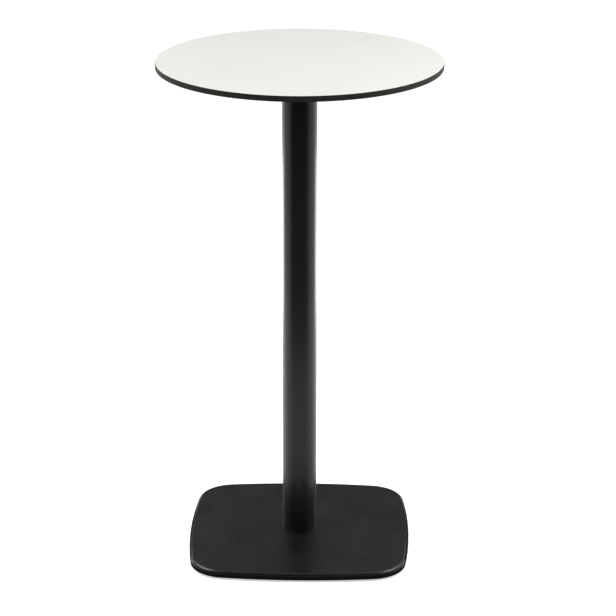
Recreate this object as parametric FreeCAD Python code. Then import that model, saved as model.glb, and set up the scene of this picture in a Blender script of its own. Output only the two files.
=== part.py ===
# Outdoor bar table: a round compact-laminate top on a steel column and a ribbed cast base.
# Millimetres, +Z up. The origin is on the floor, under the middle of the column.

import FreeCAD
import Part

import math
import os

Vector = FreeCAD.Vector
UP = Vector(0, 0, 1)

# Overall sizes
TABLE_HEIGHT = 1080.0
TOP_DIAMETER = 600.0
COLUMN_DIAMETER = 74.0
BASE_SIDE = 484.0

# Top: a dark core with a thin decor sheet bonded to each face
TOP_THICKNESS = 12.0
SHEET_THICKNESS = 0.3
EDGE_CHAMFER = 0.5

# Column tube and its end gaskets
COLUMN_WALL = 2.0
GASKET_THICKNESS = 1.0
SPIGOT_CLEARANCE = 0.3
SPIGOT_CHAMFER = 1.5

# Base casting: bowed sides, round corners, ribbed underneath
SIDE_RADIUS = 1420.0
CORNER_RADIUS = 80.0
BASE_THICKNESS = 16.0
BASE_TOP_ROUND = 7.0
BASE_BOTTOM_ROUND = 2.0
BASE_SKIN = 7.0
RIM_WIDTH = 14.0
RIB_WIDTH = 10.0
RING_RIB_DIAMETER = 270.0
POCKET_ROUND = 5.0
BOSS_MARGIN = 12.0
BASE_HUB_RISE = 16.0
FLOOR_GAP = 4.0

# Spider: four hollow tapered arms on a hub that caps the column
SPIDER_REACH = 190.0
HUB_DEPTH = 30.0
HUB_OVERHANG = 4.0
HUB_ROUND = 3.0
HUB_SPIGOT_LENGTH = 12.0
ARM_ROOT_WIDTH = 46.0
ARM_TIP_WIDTH = 30.0
ARM_ROOT_DEPTH = 24.0
ARM_TIP_DEPTH = 11.0
ARM_ROOT_ROUND = 12.0
ARM_WEB = 5.0
ARM_WALL = 4.0
ARM_COUNT = 4
INNER_SCREW_RADIUS = 95.0

# Tie rod that clamps spider, column and base together
ROD_DIAMETER = 12.0
ROD_CLEARANCE = 0.5
ROD_PROTRUSION = 1.5
NUT_FLATS = 19.0
NUT_HEIGHT = 10.0
NUT_CLEARANCE = 0.15
ROD_WASHER_DIAMETER = 30.0
ROD_WASHER_THICKNESS = 2.5
RECESS_MARGIN = 2.0
RECESS_END_GAP = 0.5

# Screws that hold the top to the spider
SCREW_DIAMETER = 6.0
SCREW_HEAD_DIAMETER = 10.5
SCREW_HEAD_HEIGHT = 3.3
SCREW_SOCKET_FLATS = 4.0
SCREW_SOCKET_DEPTH = 2.0
SCREW_HOLE_CLEARANCE = 0.3
SCREW_END_GAP = 1.0
WASHER_DIAMETER = 12.0
WASHER_THICKNESS = 1.6
INSERT_DIAMETER = 10.0
INSERT_LENGTH = 6.5
INSERT_END_GAP = 0.5
INSERT_CLEARANCE = 0.05
THREAD_CLEARANCE = 0.1

# Levelling feet: a pad that swivels on the collar of a stud screwed into the base
FOOT_DIAMETER = 36.0
FOOT_HEIGHT = 6.0
FOOT_CORNER_INSET = 55.0
FOOT_RECESS_MARGIN = 2.0
FOOT_BOSS_MARGIN = 5.0
FOOT_EDGE_ROUND = 1.5
FOOT_EDGE_CHAMFER = 0.5
FOOT_SOLE = 1.8
STUD_DIAMETER = 8.0
STUD_COVER = 1.7
STUD_END_GAP = 0.8
STUD_CLEARANCE = 0.1
STUD_CHAMFER = 0.8
COLLAR_DIAMETER = 14.0
COLLAR_HEIGHT = 2.5
COLLAR_CLEARANCE = 0.2
KEY_HOLE_DIAMETER = 7.0
KEY_FLATS = 4.0
KEY_DEPTH = 4.0

# How far a cutting tool runs past the face that it opens
OVERCUT = 1.0

# Heights worked out from the sizes above
top_underside = TABLE_HEIGHT - TOP_THICKNESS
hub_seat = top_underside - HUB_DEPTH
hub_radius = COLUMN_DIAMETER / 2 + HUB_OVERHANG
base_top = FLOOR_GAP + BASE_THICKNESS
pocket_ceiling = base_top - BASE_SKIN
column_foot = base_top + GASKET_THICKNESS
column_head = hub_seat - GASKET_THICKNESS
column_bore_radius = COLUMN_DIAMETER / 2 - COLUMN_WALL
spigot_radius = column_bore_radius - SPIGOT_CLEARANCE
recess_depth = RECESS_END_GAP + ROD_PROTRUSION + NUT_HEIGHT + ROD_WASHER_THICKNESS
recess_radius = ROD_WASHER_DIAMETER / 2 + RECESS_MARGIN
lower_washer_seat = FLOOR_GAP + recess_depth
upper_washer_seat = top_underside - recess_depth
rod_hole_radius = ROD_DIAMETER / 2 + ROD_CLEARANCE
arm_tip_centre = SPIDER_REACH - ARM_TIP_WIDTH / 2
screw_hole_radius = SCREW_DIAMETER / 2 + SCREW_HOLE_CLEARANCE
trough_ceiling = top_underside - ARM_WEB
screw_seat = trough_ceiling - WASHER_THICKNESS
stud_hole_top = base_top - STUD_COVER
stud_top = stud_hole_top - STUD_END_GAP


def disc(radius, bottom, top):
    """A plain cylinder on the table's axis."""
    return Part.makeCylinder(radius, top - bottom, Vector(0, 0, bottom))


def ring(outer_radius, inner_radius, bottom, top):
    """A flat-ended ring on the table's axis."""
    return disc(outer_radius, bottom, top).cut(disc(inner_radius, bottom, top))


def turned(profile):
    """A solid of revolution about Z, from the (radius, height) corners of its section."""
    edges = []
    for start, end in zip(profile, profile[1:] + profile[:1]):
        edges.append(Part.makeLine(Vector(start[0], 0, start[1]), Vector(end[0], 0, end[1])))
    return Part.Face(Part.Wire(edges)).revolve(Vector(0, 0, 0), UP, 360)


def prism(wire, height):
    """A flat closed wire pushed straight up by height."""
    return Part.Face(wire).extrude(Vector(0, 0, height))


def hexagon(across_flats, bottom, top):
    """A hexagonal bar on the table's axis."""
    corner = across_flats / math.sqrt(3)
    points = []
    for side in range(7):
        angle = math.radians(60 * side)
        points.append(Vector(corner * math.cos(angle), corner * math.sin(angle), bottom))
    return prism(Part.makePolygon(points), top - bottom)


def turned_to(shape, degrees):
    """A copy of shape, turned about the table's axis."""
    copy = shape.copy()
    copy.rotate(Vector(0, 0, 0), UP, degrees)
    return copy


def placed(shape, x, y, z=0.0):
    """A copy of shape, moved."""
    copy = shape.copy()
    copy.translate(Vector(x, y, z))
    return copy


def around(shape, count):
    """Evenly turned copies of shape, as a list."""
    return [turned_to(shape, 360.0 * step / count) for step in range(count)]


def edges_at_height(shape, height):
    """The edges of shape that lie flat at one height."""
    found = []
    for edge in shape.Edges:
        box = edge.BoundBox
        if abs(box.ZMin - height) < 1e-6 and abs(box.ZMax - height) < 1e-6:
            found.append(edge)
    return found


def upright_edges(shape):
    """The straight vertical edges of shape."""
    found = []
    for edge in shape.Edges:
        box = edge.BoundBox
        if box.ZLength > 1e-3 and box.XLength < 1e-6 and box.YLength < 1e-6:
            found.append(edge)
    return found


def corner_arc_centre():
    """X and Y of a base corner's arc centre, where the corner touches both bowed sides."""
    side_centre = BASE_SIDE / 2 - SIDE_RADIUS
    reach = SIDE_RADIUS - CORNER_RADIUS
    return (side_centre + math.sqrt(2 * reach**2 - side_centre**2)) / 2


def base_outline(inset, height):
    """Plan of the base, drawn in by inset: four bowed sides and four round corners, all tangent."""
    side_centre = BASE_SIDE / 2 - SIDE_RADIUS
    corner_centre = corner_arc_centre()
    side_radius = SIDE_RADIUS - inset
    corner_radius = CORNER_RADIUS - inset
    half_swing = math.degrees(math.atan2(corner_centre, corner_centre - side_centre))

    def arc(centre_x, centre_y, radius, first, last, turn):
        points = []
        for angle in (first, (first + last) / 2, last):
            swing = math.radians(angle)
            x = centre_x + radius * math.cos(swing)
            y = centre_y + radius * math.sin(swing)
            points.append(FreeCAD.Rotation(UP, turn).multVec(Vector(x, y, height)))
        return Part.Arc(*points).toShape()

    edges = []
    for quarter in range(4):
        turn = 90.0 * quarter
        edges.append(arc(side_centre, 0, side_radius, -half_swing, half_swing, turn))
        edges.append(arc(corner_centre, corner_centre, corner_radius, half_swing, 90 - half_swing, turn))
    return Part.Wire(edges)


def foot_places():
    """Where the four feet stand, by name."""
    corner_reach = corner_arc_centre() * math.sqrt(2) + CORNER_RADIUS
    along = (corner_reach - FOOT_CORNER_INSET) / math.sqrt(2)
    return {
        "front_left": (-along, -along),
        "front_right": (along, -along),
        "back_left": (-along, along),
        "back_right": (along, along),
    }


def screw_places():
    """Where the screws pass through the spider's arms."""
    places = []
    for radius in (INNER_SCREW_RADIUS, arm_tip_centre):
        for step in range(ARM_COUNT):
            angle = math.radians(360.0 * step / ARM_COUNT)
            places.append((radius * math.cos(angle), radius * math.sin(angle)))
    return places


def at_each(shape, places):
    """Copies of shape at each place, as one group of separate solids."""
    return Part.makeCompound([placed(shape, x, y) for x, y in places])


# Top

def top_core():
    """The dark phenolic core, with a broken edge and a blind hole for each insert."""
    radius = TOP_DIAMETER / 2
    low = top_underside + SHEET_THICKNESS
    high = TABLE_HEIGHT - SHEET_THICKNESS
    core = turned([
        (0, low),
        (radius - EDGE_CHAMFER, low),
        (radius, low + EDGE_CHAMFER),
        (radius, high - EDGE_CHAMFER),
        (radius - EDGE_CHAMFER, high),
        (0, high),
    ])
    return core.cut(at_each(insert_hole(), screw_places()))


def insert_hole():
    """The blind hole that an insert is pressed into, open at the underside."""
    depth = INSERT_LENGTH + INSERT_END_GAP
    return disc(INSERT_DIAMETER / 2 + INSERT_CLEARANCE, top_underside - OVERCUT, top_underside + depth)


def top_face_sheet():
    """The pale decor sheet that things stand on."""
    return disc(TOP_DIAMETER / 2 - EDGE_CHAMFER, TABLE_HEIGHT - SHEET_THICKNESS, TABLE_HEIGHT)


def top_backing_sheet():
    """The matching decor sheet underneath, which keeps the panel flat."""
    sheet = disc(TOP_DIAMETER / 2 - EDGE_CHAMFER, top_underside, top_underside + SHEET_THICKNESS)
    return sheet.cut(at_each(insert_hole(), screw_places()))


def top_inserts():
    """Threaded inserts, flush with the underside of the top."""
    bore = SCREW_DIAMETER / 2 + THREAD_CLEARANCE
    insert = ring(INSERT_DIAMETER / 2, bore, top_underside, top_underside + INSERT_LENGTH)
    return at_each(insert, screw_places())


# Spider and its fasteners

def arm_plan(root_half_width, tip_radius, height):
    """Plan of one arm along +X: straight tapered sides that run into a round tip."""
    span = math.hypot(root_half_width, arm_tip_centre)
    taper = math.acos(tip_radius / span) - math.atan2(arm_tip_centre, root_half_width)
    tangent_x = arm_tip_centre + tip_radius * math.sin(taper)
    tangent_y = tip_radius * math.cos(taper)
    root_left = Vector(0, root_half_width, height)
    root_right = Vector(0, -root_half_width, height)
    tip_left = Vector(tangent_x, tangent_y, height)
    tip_right = Vector(tangent_x, -tangent_y, height)
    tip = Vector(arm_tip_centre + tip_radius, 0, height)
    return Part.Wire([
        Part.makeLine(root_right, tip_right),
        Part.Arc(tip_right, tip, tip_left).toShape(),
        Part.makeLine(tip_left, root_left),
        Part.makeLine(root_left, root_right),
    ])


def arm_roots(blank):
    """The upright edges of the blank where its arms leave the hub."""
    roots = []
    for edge in upright_edges(blank):
        corner = edge.Vertexes[0].Point
        if abs(math.hypot(corner.x, corner.y) - hub_radius) < 1e-3:
            roots.append(edge)
    return roots


def spider_arms():
    """Tapered arms that flow out of the hub, each a trough underneath that runs shallow to its tip."""
    root_level = top_underside - ARM_ROOT_DEPTH
    tip_level = top_underside - ARM_TIP_DEPTH
    arm = prism(arm_plan(ARM_ROOT_WIDTH / 2, ARM_TIP_WIDTH / 2, root_level), ARM_ROOT_DEPTH)
    hub = disc(hub_radius, root_level, top_underside)
    blank = hub.fuse(around(arm, ARM_COUNT)).removeSplitter()
    blank = blank.makeFillet(ARM_ROOT_ROUND, arm_roots(blank))
    underside = turned([
        (0, root_level),
        (hub_radius, root_level),
        (SPIDER_REACH, tip_level),
        (SPIDER_REACH, top_underside),
        (0, top_underside),
    ])
    trough_mouth = root_level - OVERCUT
    trough_plan = arm_plan(ARM_ROOT_WIDTH / 2 - ARM_WALL, ARM_TIP_WIDTH / 2 - ARM_WALL, trough_mouth)
    trough = prism(trough_plan, trough_ceiling - trough_mouth)
    trough = trough.cut(disc(hub_radius, trough_mouth, trough_ceiling))
    return blank.common(underside).cut(around(trough, ARM_COUNT))


def top_spider():
    """The casting that carries the top: hub, locating spigot, arms and their screw holes."""
    hub = disc(hub_radius, hub_seat, top_underside)
    hub = hub.makeFillet(HUB_ROUND, edges_at_height(hub, hub_seat))
    spigot_end = hub_seat - HUB_SPIGOT_LENGTH
    spigot = disc(spigot_radius, spigot_end, hub_seat)
    spigot = spigot.makeChamfer(SPIGOT_CHAMFER, edges_at_height(spigot, spigot_end))
    spider = spider_arms().fuse([hub, spigot]).removeSplitter()
    rod_hole = disc(rod_hole_radius, spigot_end - OVERCUT, top_underside)
    recess = disc(recess_radius, upper_washer_seat, top_underside + OVERCUT)
    screw_hole = disc(screw_hole_radius, trough_ceiling - OVERCUT, top_underside + OVERCUT)
    return spider.cut([rod_hole, recess, at_each(screw_hole, screw_places())])


def spider_washers():
    """A washer under each screw head."""
    washer = ring(WASHER_DIAMETER / 2, screw_hole_radius, screw_seat, screw_seat + WASHER_THICKNESS)
    return at_each(washer, screw_places())


def spider_screws():
    """Button-head screws, driven up through the arms into the inserts."""
    shank = disc(SCREW_DIAMETER / 2, screw_seat, top_underside + INSERT_LENGTH - SCREW_END_GAP)
    head_radius = SCREW_HEAD_DIAMETER / 2
    crown_height = (head_radius**2 + SCREW_HEAD_HEIGHT**2) / (2 * SCREW_HEAD_HEIGHT)
    ball = Part.makeSphere(crown_height, Vector(0, 0, screw_seat - SCREW_HEAD_HEIGHT + crown_height))
    head = ball.common(disc(head_radius, screw_seat - SCREW_HEAD_HEIGHT, screw_seat))
    socket_end = screw_seat - SCREW_HEAD_HEIGHT + SCREW_SOCKET_DEPTH
    socket = hexagon(SCREW_SOCKET_FLATS, screw_seat - SCREW_HEAD_HEIGHT - OVERCUT, socket_end)
    return at_each(head.fuse(shank).removeSplitter().cut(socket), screw_places())


# Column

def column_tube():
    """The round steel tube between base and spider."""
    return ring(COLUMN_DIAMETER / 2, column_bore_radius, column_foot, column_head)


def column_gasket(bottom):
    """A thin ring that seals an end of the tube."""
    return ring(COLUMN_DIAMETER / 2, column_bore_radius, bottom, bottom + GASKET_THICKNESS)


def tie_rod():
    """The long rod down the middle of the column."""
    bottom = lower_washer_seat - ROD_WASHER_THICKNESS - NUT_HEIGHT - ROD_PROTRUSION
    top = upper_washer_seat + ROD_WASHER_THICKNESS + NUT_HEIGHT + ROD_PROTRUSION
    return disc(ROD_DIAMETER / 2, bottom, top)


def rod_washer(bottom):
    """A broad washer that spreads the rod's pull."""
    return ring(ROD_WASHER_DIAMETER / 2, rod_hole_radius, bottom, bottom + ROD_WASHER_THICKNESS)


def rod_nut(bottom):
    """A hexagon nut with chamfered corners."""
    top = bottom + NUT_HEIGHT
    corner = NUT_FLATS / math.sqrt(3)
    bevel = (corner - NUT_FLATS / 2) * math.tan(math.radians(30))
    lathe = turned([
        (0, bottom),
        (NUT_FLATS / 2, bottom),
        (corner, bottom + bevel),
        (corner, top - bevel),
        (NUT_FLATS / 2, top),
        (0, top),
    ])
    bore = disc(ROD_DIAMETER / 2 + NUT_CLEARANCE, bottom, top)
    return hexagon(NUT_FLATS, bottom, top).common(lathe).cut(bore)


# Base

def underside_pockets():
    """The hollows under the base, between rim, ribs and bosses."""
    bottom = FLOOR_GAP - OVERCUT
    depth = pocket_ceiling - bottom
    pockets = prism(base_outline(RIM_WIDTH, bottom), depth)
    rib = Part.makeBox(2 * BASE_SIDE, RIB_WIDTH, depth, Vector(-BASE_SIDE, -RIB_WIDTH / 2, bottom))
    ribs = [turned_to(rib, 45.0 * step) for step in range(4)]
    ring_rib = ring(
        RING_RIB_DIAMETER / 2 + RIB_WIDTH / 2,
        RING_RIB_DIAMETER / 2 - RIB_WIDTH / 2,
        bottom,
        pocket_ceiling,
    )
    centre_boss = disc(COLUMN_DIAMETER / 2 + BOSS_MARGIN, bottom, pocket_ceiling)
    foot_boss = disc(FOOT_DIAMETER / 2 + FOOT_BOSS_MARGIN, bottom, pocket_ceiling)
    feet = at_each(foot_boss, foot_places().values())
    pockets = pockets.cut(ribs + [ring_rib, centre_boss, feet])
    return pockets.makeFillet(POCKET_ROUND, upright_edges(pockets))


def base_casting():
    """The heavy base: a flat plate with a rounded rim, a hub inside the column and foot sockets."""
    plate = prism(base_outline(0, FLOOR_GAP), BASE_THICKNESS)
    plate = plate.makeFillet(BASE_TOP_ROUND, edges_at_height(plate, base_top))
    plate = plate.makeFillet(BASE_BOTTOM_ROUND, edges_at_height(plate, FLOOR_GAP))
    hub = disc(spigot_radius, base_top - OVERCUT, base_top + BASE_HUB_RISE)
    hub = hub.makeChamfer(SPIGOT_CHAMFER, edges_at_height(hub, base_top + BASE_HUB_RISE))
    casting = plate.fuse(hub).cut(underside_pockets())
    rod_hole = disc(rod_hole_radius, FLOOR_GAP, base_top + BASE_HUB_RISE + OVERCUT)
    rod_recess = disc(recess_radius, FLOOR_GAP - OVERCUT, lower_washer_seat)
    foot_recess = disc(FOOT_DIAMETER / 2 + FOOT_RECESS_MARGIN, FLOOR_GAP - OVERCUT, FOOT_HEIGHT)
    stud_hole = disc(STUD_DIAMETER / 2 + STUD_CLEARANCE, FLOOR_GAP, stud_hole_top)
    sockets = at_each(foot_recess.fuse(stud_hole), foot_places().values())
    return casting.cut([rod_hole, rod_recess, sockets])


# Levelling feet

def foot_pad():
    """The round pad: a sole with a key hole, and a groove that holds the stud's collar."""
    radius = FOOT_DIAMETER / 2
    groove_top = FOOT_SOLE + COLLAR_HEIGHT + COLLAR_CLEARANCE
    groove_radius = COLLAR_DIAMETER / 2 + COLLAR_CLEARANCE
    neck_radius = STUD_DIAMETER / 2 + COLLAR_CLEARANCE
    pad = disc(radius, 0, FOOT_HEIGHT)
    pad = pad.makeFillet(FOOT_EDGE_ROUND, edges_at_height(pad, 0))
    pad = pad.makeChamfer(FOOT_EDGE_CHAMFER, edges_at_height(pad, FOOT_HEIGHT))
    key_hole = disc(KEY_HOLE_DIAMETER / 2, -OVERCUT, FOOT_SOLE)
    groove = disc(groove_radius, FOOT_SOLE, groove_top)
    neck = disc(neck_radius, groove_top, FOOT_HEIGHT + OVERCUT)
    return pad.cut([key_hole, groove, neck])


def foot_stud():
    """The screw of a foot: a collar that turns in the pad, and a key socket in its lower end."""
    shank_radius = STUD_DIAMETER / 2
    collar_top = FOOT_SOLE + COLLAR_HEIGHT
    stud = turned([
        (0, FOOT_SOLE),
        (COLLAR_DIAMETER / 2, FOOT_SOLE),
        (COLLAR_DIAMETER / 2, collar_top),
        (shank_radius, collar_top),
        (shank_radius, stud_top - STUD_CHAMFER),
        (shank_radius - STUD_CHAMFER, stud_top),
        (0, stud_top),
    ])
    return stud.cut(hexagon(KEY_FLATS, FOOT_SOLE - OVERCUT, FOOT_SOLE + KEY_DEPTH))


def nodes():
    """Every piece of the table, by name."""
    pieces = {
        "top_core": top_core(),
        "top_face_sheet": top_face_sheet(),
        "top_backing_sheet": top_backing_sheet(),
        "top_inserts": top_inserts(),
        "top_spider": top_spider(),
        "spider_screws": spider_screws(),
        "spider_washers": spider_washers(),
        "column_tube": column_tube(),
        "column_head_gasket": column_gasket(column_head),
        "column_foot_gasket": column_gasket(base_top),
        "tie_rod": tie_rod(),
        "tie_rod_top_washer": rod_washer(upper_washer_seat),
        "tie_rod_top_nut": rod_nut(upper_washer_seat + ROD_WASHER_THICKNESS),
        "tie_rod_bottom_washer": rod_washer(lower_washer_seat - ROD_WASHER_THICKNESS),
        "tie_rod_bottom_nut": rod_nut(lower_washer_seat - ROD_WASHER_THICKNESS - NUT_HEIGHT),
        "base_casting": base_casting(),
    }
    for corner, (x, y) in foot_places().items():
        pieces["foot_pad_" + corner] = placed(foot_pad(), x, y)
        pieces["foot_stud_" + corner] = placed(foot_stud(), x, y)
    return pieces


def main():
    """Builds the table and writes one file for each piece."""
    os.makedirs("parts", exist_ok=True)
    for name, shape in nodes().items():
        shape.exportStep(os.path.join("parts", name + ".step"))
        print(name, "solids", len(shape.Solids), "valid", shape.isValid(), "volume", round(shape.Volume, 1))


main()
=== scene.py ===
"""Looks of an outdoor bar table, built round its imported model.

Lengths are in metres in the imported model's own frame: X to the right, Y away from the
camera, Z up, and the floor at zero. Small sizes are written in millimetres times MM.
"""

from __future__ import annotations

import logging
import math
from abc import ABC, abstractmethod
from collections.abc import Iterator, Sequence
from contextlib import contextmanager
from dataclasses import dataclass
from enum import Enum
from itertools import pairwise
from typing import Any

import bpy
from mathutils import Matrix, Quaternion, Vector

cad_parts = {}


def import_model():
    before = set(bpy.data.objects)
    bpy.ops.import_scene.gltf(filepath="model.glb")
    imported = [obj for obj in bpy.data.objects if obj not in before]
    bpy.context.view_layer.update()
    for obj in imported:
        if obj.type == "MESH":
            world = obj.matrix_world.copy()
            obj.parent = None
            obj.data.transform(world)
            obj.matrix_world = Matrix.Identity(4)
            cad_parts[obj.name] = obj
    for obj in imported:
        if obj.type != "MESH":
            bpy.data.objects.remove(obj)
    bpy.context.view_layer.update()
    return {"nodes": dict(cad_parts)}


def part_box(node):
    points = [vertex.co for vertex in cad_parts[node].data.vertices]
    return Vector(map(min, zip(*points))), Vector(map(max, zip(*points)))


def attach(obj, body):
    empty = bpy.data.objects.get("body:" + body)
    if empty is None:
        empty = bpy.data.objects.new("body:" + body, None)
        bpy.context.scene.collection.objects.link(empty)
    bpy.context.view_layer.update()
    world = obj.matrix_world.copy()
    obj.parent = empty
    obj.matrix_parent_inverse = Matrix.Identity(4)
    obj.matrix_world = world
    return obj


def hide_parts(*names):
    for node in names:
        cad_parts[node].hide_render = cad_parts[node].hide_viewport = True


Colour = tuple[float, float, float]
Place = tuple[float, float, float]
Factors = tuple[float, float, float]
Pair = tuple[float, float]
Span = tuple[float, float]
Profile = Sequence[Pair]
Socket = bpy.types.NodeSocket
Piece = bpy.types.Object

LOG = logging.getLogger("bar_table")
MM = 0.001
FULL_TURN = 2 * math.pi
ORIGIN: Place = (0.0, 0.0, 0.0)

# Points closer than this become one
WELD = 0.002 * MM
# How far a point may lie from a cutting plane and still count as on it
TRUE = 0.0001 * MM
# Angle in degrees from which an edge counts as sharp
SHARP = 30.0
# Angle in degrees from which an edge of a thread or nut counts as sharp
FINE_SHARP = 25.0
# Angle in degrees under which neighbouring faces count as one flat area
FLAT = 0.5
# Facets across the rounded edge of a large piece
LARGE_ROUND = 3
# Sides of a nut or key
HEX_SIDES = 6
# Ends of groove and crest along one turn of a thread, as shares of its pitch
THREAD_SHARES = (0.25, 0.55, 0.70)
# Facets round one turn of a thread
THREAD_STEPS = 32
# Turns that a thread has to spare below and above, before its ends are cut
SPARE_TURNS = (2, 1)
# Distances of the spider's screws from the column's axis
SCREW_CIRCLES: Pair = (95.0 * MM, 175.0 * MM)

# Values between which most of a noise lies
NOISE_SPAN: Span = (0.3, 0.7)
# Likeness of the true and the rounded normal on a flat and on an edge
EDGE_LIKENESS: Span = (0.99, 0.80)
# Upward share of the normal on an upright and on a level face
LEVEL_SHARE: Span = (0.5, 0.9)
# Rays that look for an edge
EDGE_SAMPLES = 4
# Greatest share of light that a tinted colour gives back
BRIGHTEST = 0.9
PLAIN_WHITE: Colour = (1.0, 1.0, 1.0)


class Slot(Enum):
    """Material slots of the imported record."""

    DECOR = "decor_sheet"
    CORE = "laminate_core"
    COLUMN = "column_paint"
    SPIDER = "spider_paint"
    BASE = "base_paint"
    ZINC = "zinc_steel"
    BRASS = "insert_brass"
    RUBBER = "gasket_rubber"
    PLASTIC = "foot_plastic"


class ColumnEnd(Enum):
    """Ends of the column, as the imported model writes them."""

    HEAD = "head"
    FOOT = "foot"


class RodEnd(Enum):
    """Ends of the tie rod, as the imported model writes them."""

    TOP = "top"
    BOTTOM = "bottom"


class Corner(Enum):
    """Corners of the base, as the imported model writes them."""

    FRONT_LEFT = "front_left"
    FRONT_RIGHT = "front_right"
    BACK_LEFT = "back_left"
    BACK_RIGHT = "back_right"


class Flank(Enum):
    """Sides of the studio, as signs on X."""

    LEFT = -1
    RIGHT = 1

    @property
    def label(self) -> str:
        """Name of the side as the lamps and kerbs carry it."""
        return self.name.lower()


class Ramp(Enum):
    """Ways in which one range of values runs into another."""

    STRAIGHT = "LINEAR"
    SOFT = "SMOOTHSTEP"


def tinted(colour: Colour, factor: float) -> Colour:
    """Multiply the lightness of a colour by a factor, up to the brightest that is used."""
    red, green, blue = (min(BRIGHTEST, factor * part) for part in colour)
    return red, green, blue


class Nodes:
    """A node tree, with short calls for adding and linking its nodes."""

    def __init__(self, tree: bpy.types.NodeTree) -> None:
        """Take over the node tree of a material or of the world, and empty it."""
        self.tree = tree
        self.tree.nodes.clear()

    def add(self, kind: str, **settings: Any) -> bpy.types.Node:
        """Add a node.

        Args:
            kind: Blender's name for the kind of node.
            settings: Properties to set on the node.

        Returns:
            The new node.
        """
        node = self.tree.nodes.new(kind)
        for key, value in settings.items():
            setattr(node, key, value)
        return node

    def join(self, source: Socket, target: Socket) -> None:
        """Link an output to an input."""
        self.tree.links.new(source, target)

    def feed(self, target: Socket, value: Socket | Colour | float) -> None:
        """Link a socket to an input, or set the input to a constant.

        Args:
            target: Input to fill.
            value: Socket, colour or number that fills it.
        """
        if isinstance(value, bpy.types.NodeSocket):
            self.join(value, target)
        elif isinstance(value, tuple):
            target.default_value = (*value, 1.0)
        else:
            target.default_value = value

    def spread(
        self,
        source: Socket,
        start: float,
        end: float,
        low: float = 0.0,
        high: float = 1.0,
        ramp: Ramp = Ramp.STRAIGHT,
    ) -> Socket:
        """Map a range of values onto another, held at both ends.

        Args:
            source: Output to read.
            start: Value that becomes low.
            end: Value that becomes high.
            low: Result at start.
            high: Result at end.
            ramp: How the result runs from low to high.

        Returns:
            The mapped value.
        """
        node = self.add("ShaderNodeMapRange", interpolation_type=ramp.value)
        self.join(source, node.inputs["Value"])
        keys = ("From Min", "From Max", "To Min", "To Max")
        for key, value in zip(keys, (start, end, low, high)):
            node.inputs[key].default_value = value
        return node.outputs["Result"]

    def seen(self) -> Socket:
        """Tell the rays that see a surface as it is from those that only carry its light.

        Returns:
            Output that is 1 for camera, mirrored and transmitted rays, and 0 for others.
        """
        path = self.add("ShaderNodeLightPath")
        total = path.outputs["Is Camera Ray"]
        for kind in ("Is Glossy Ray", "Is Transmission Ray"):
            either = self.add("ShaderNodeMath", operation="MAXIMUM")
            self.join(total, either.inputs[0])
            self.join(path.outputs[kind], either.inputs[1])
            total = either.outputs["Value"]
        return total


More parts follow.
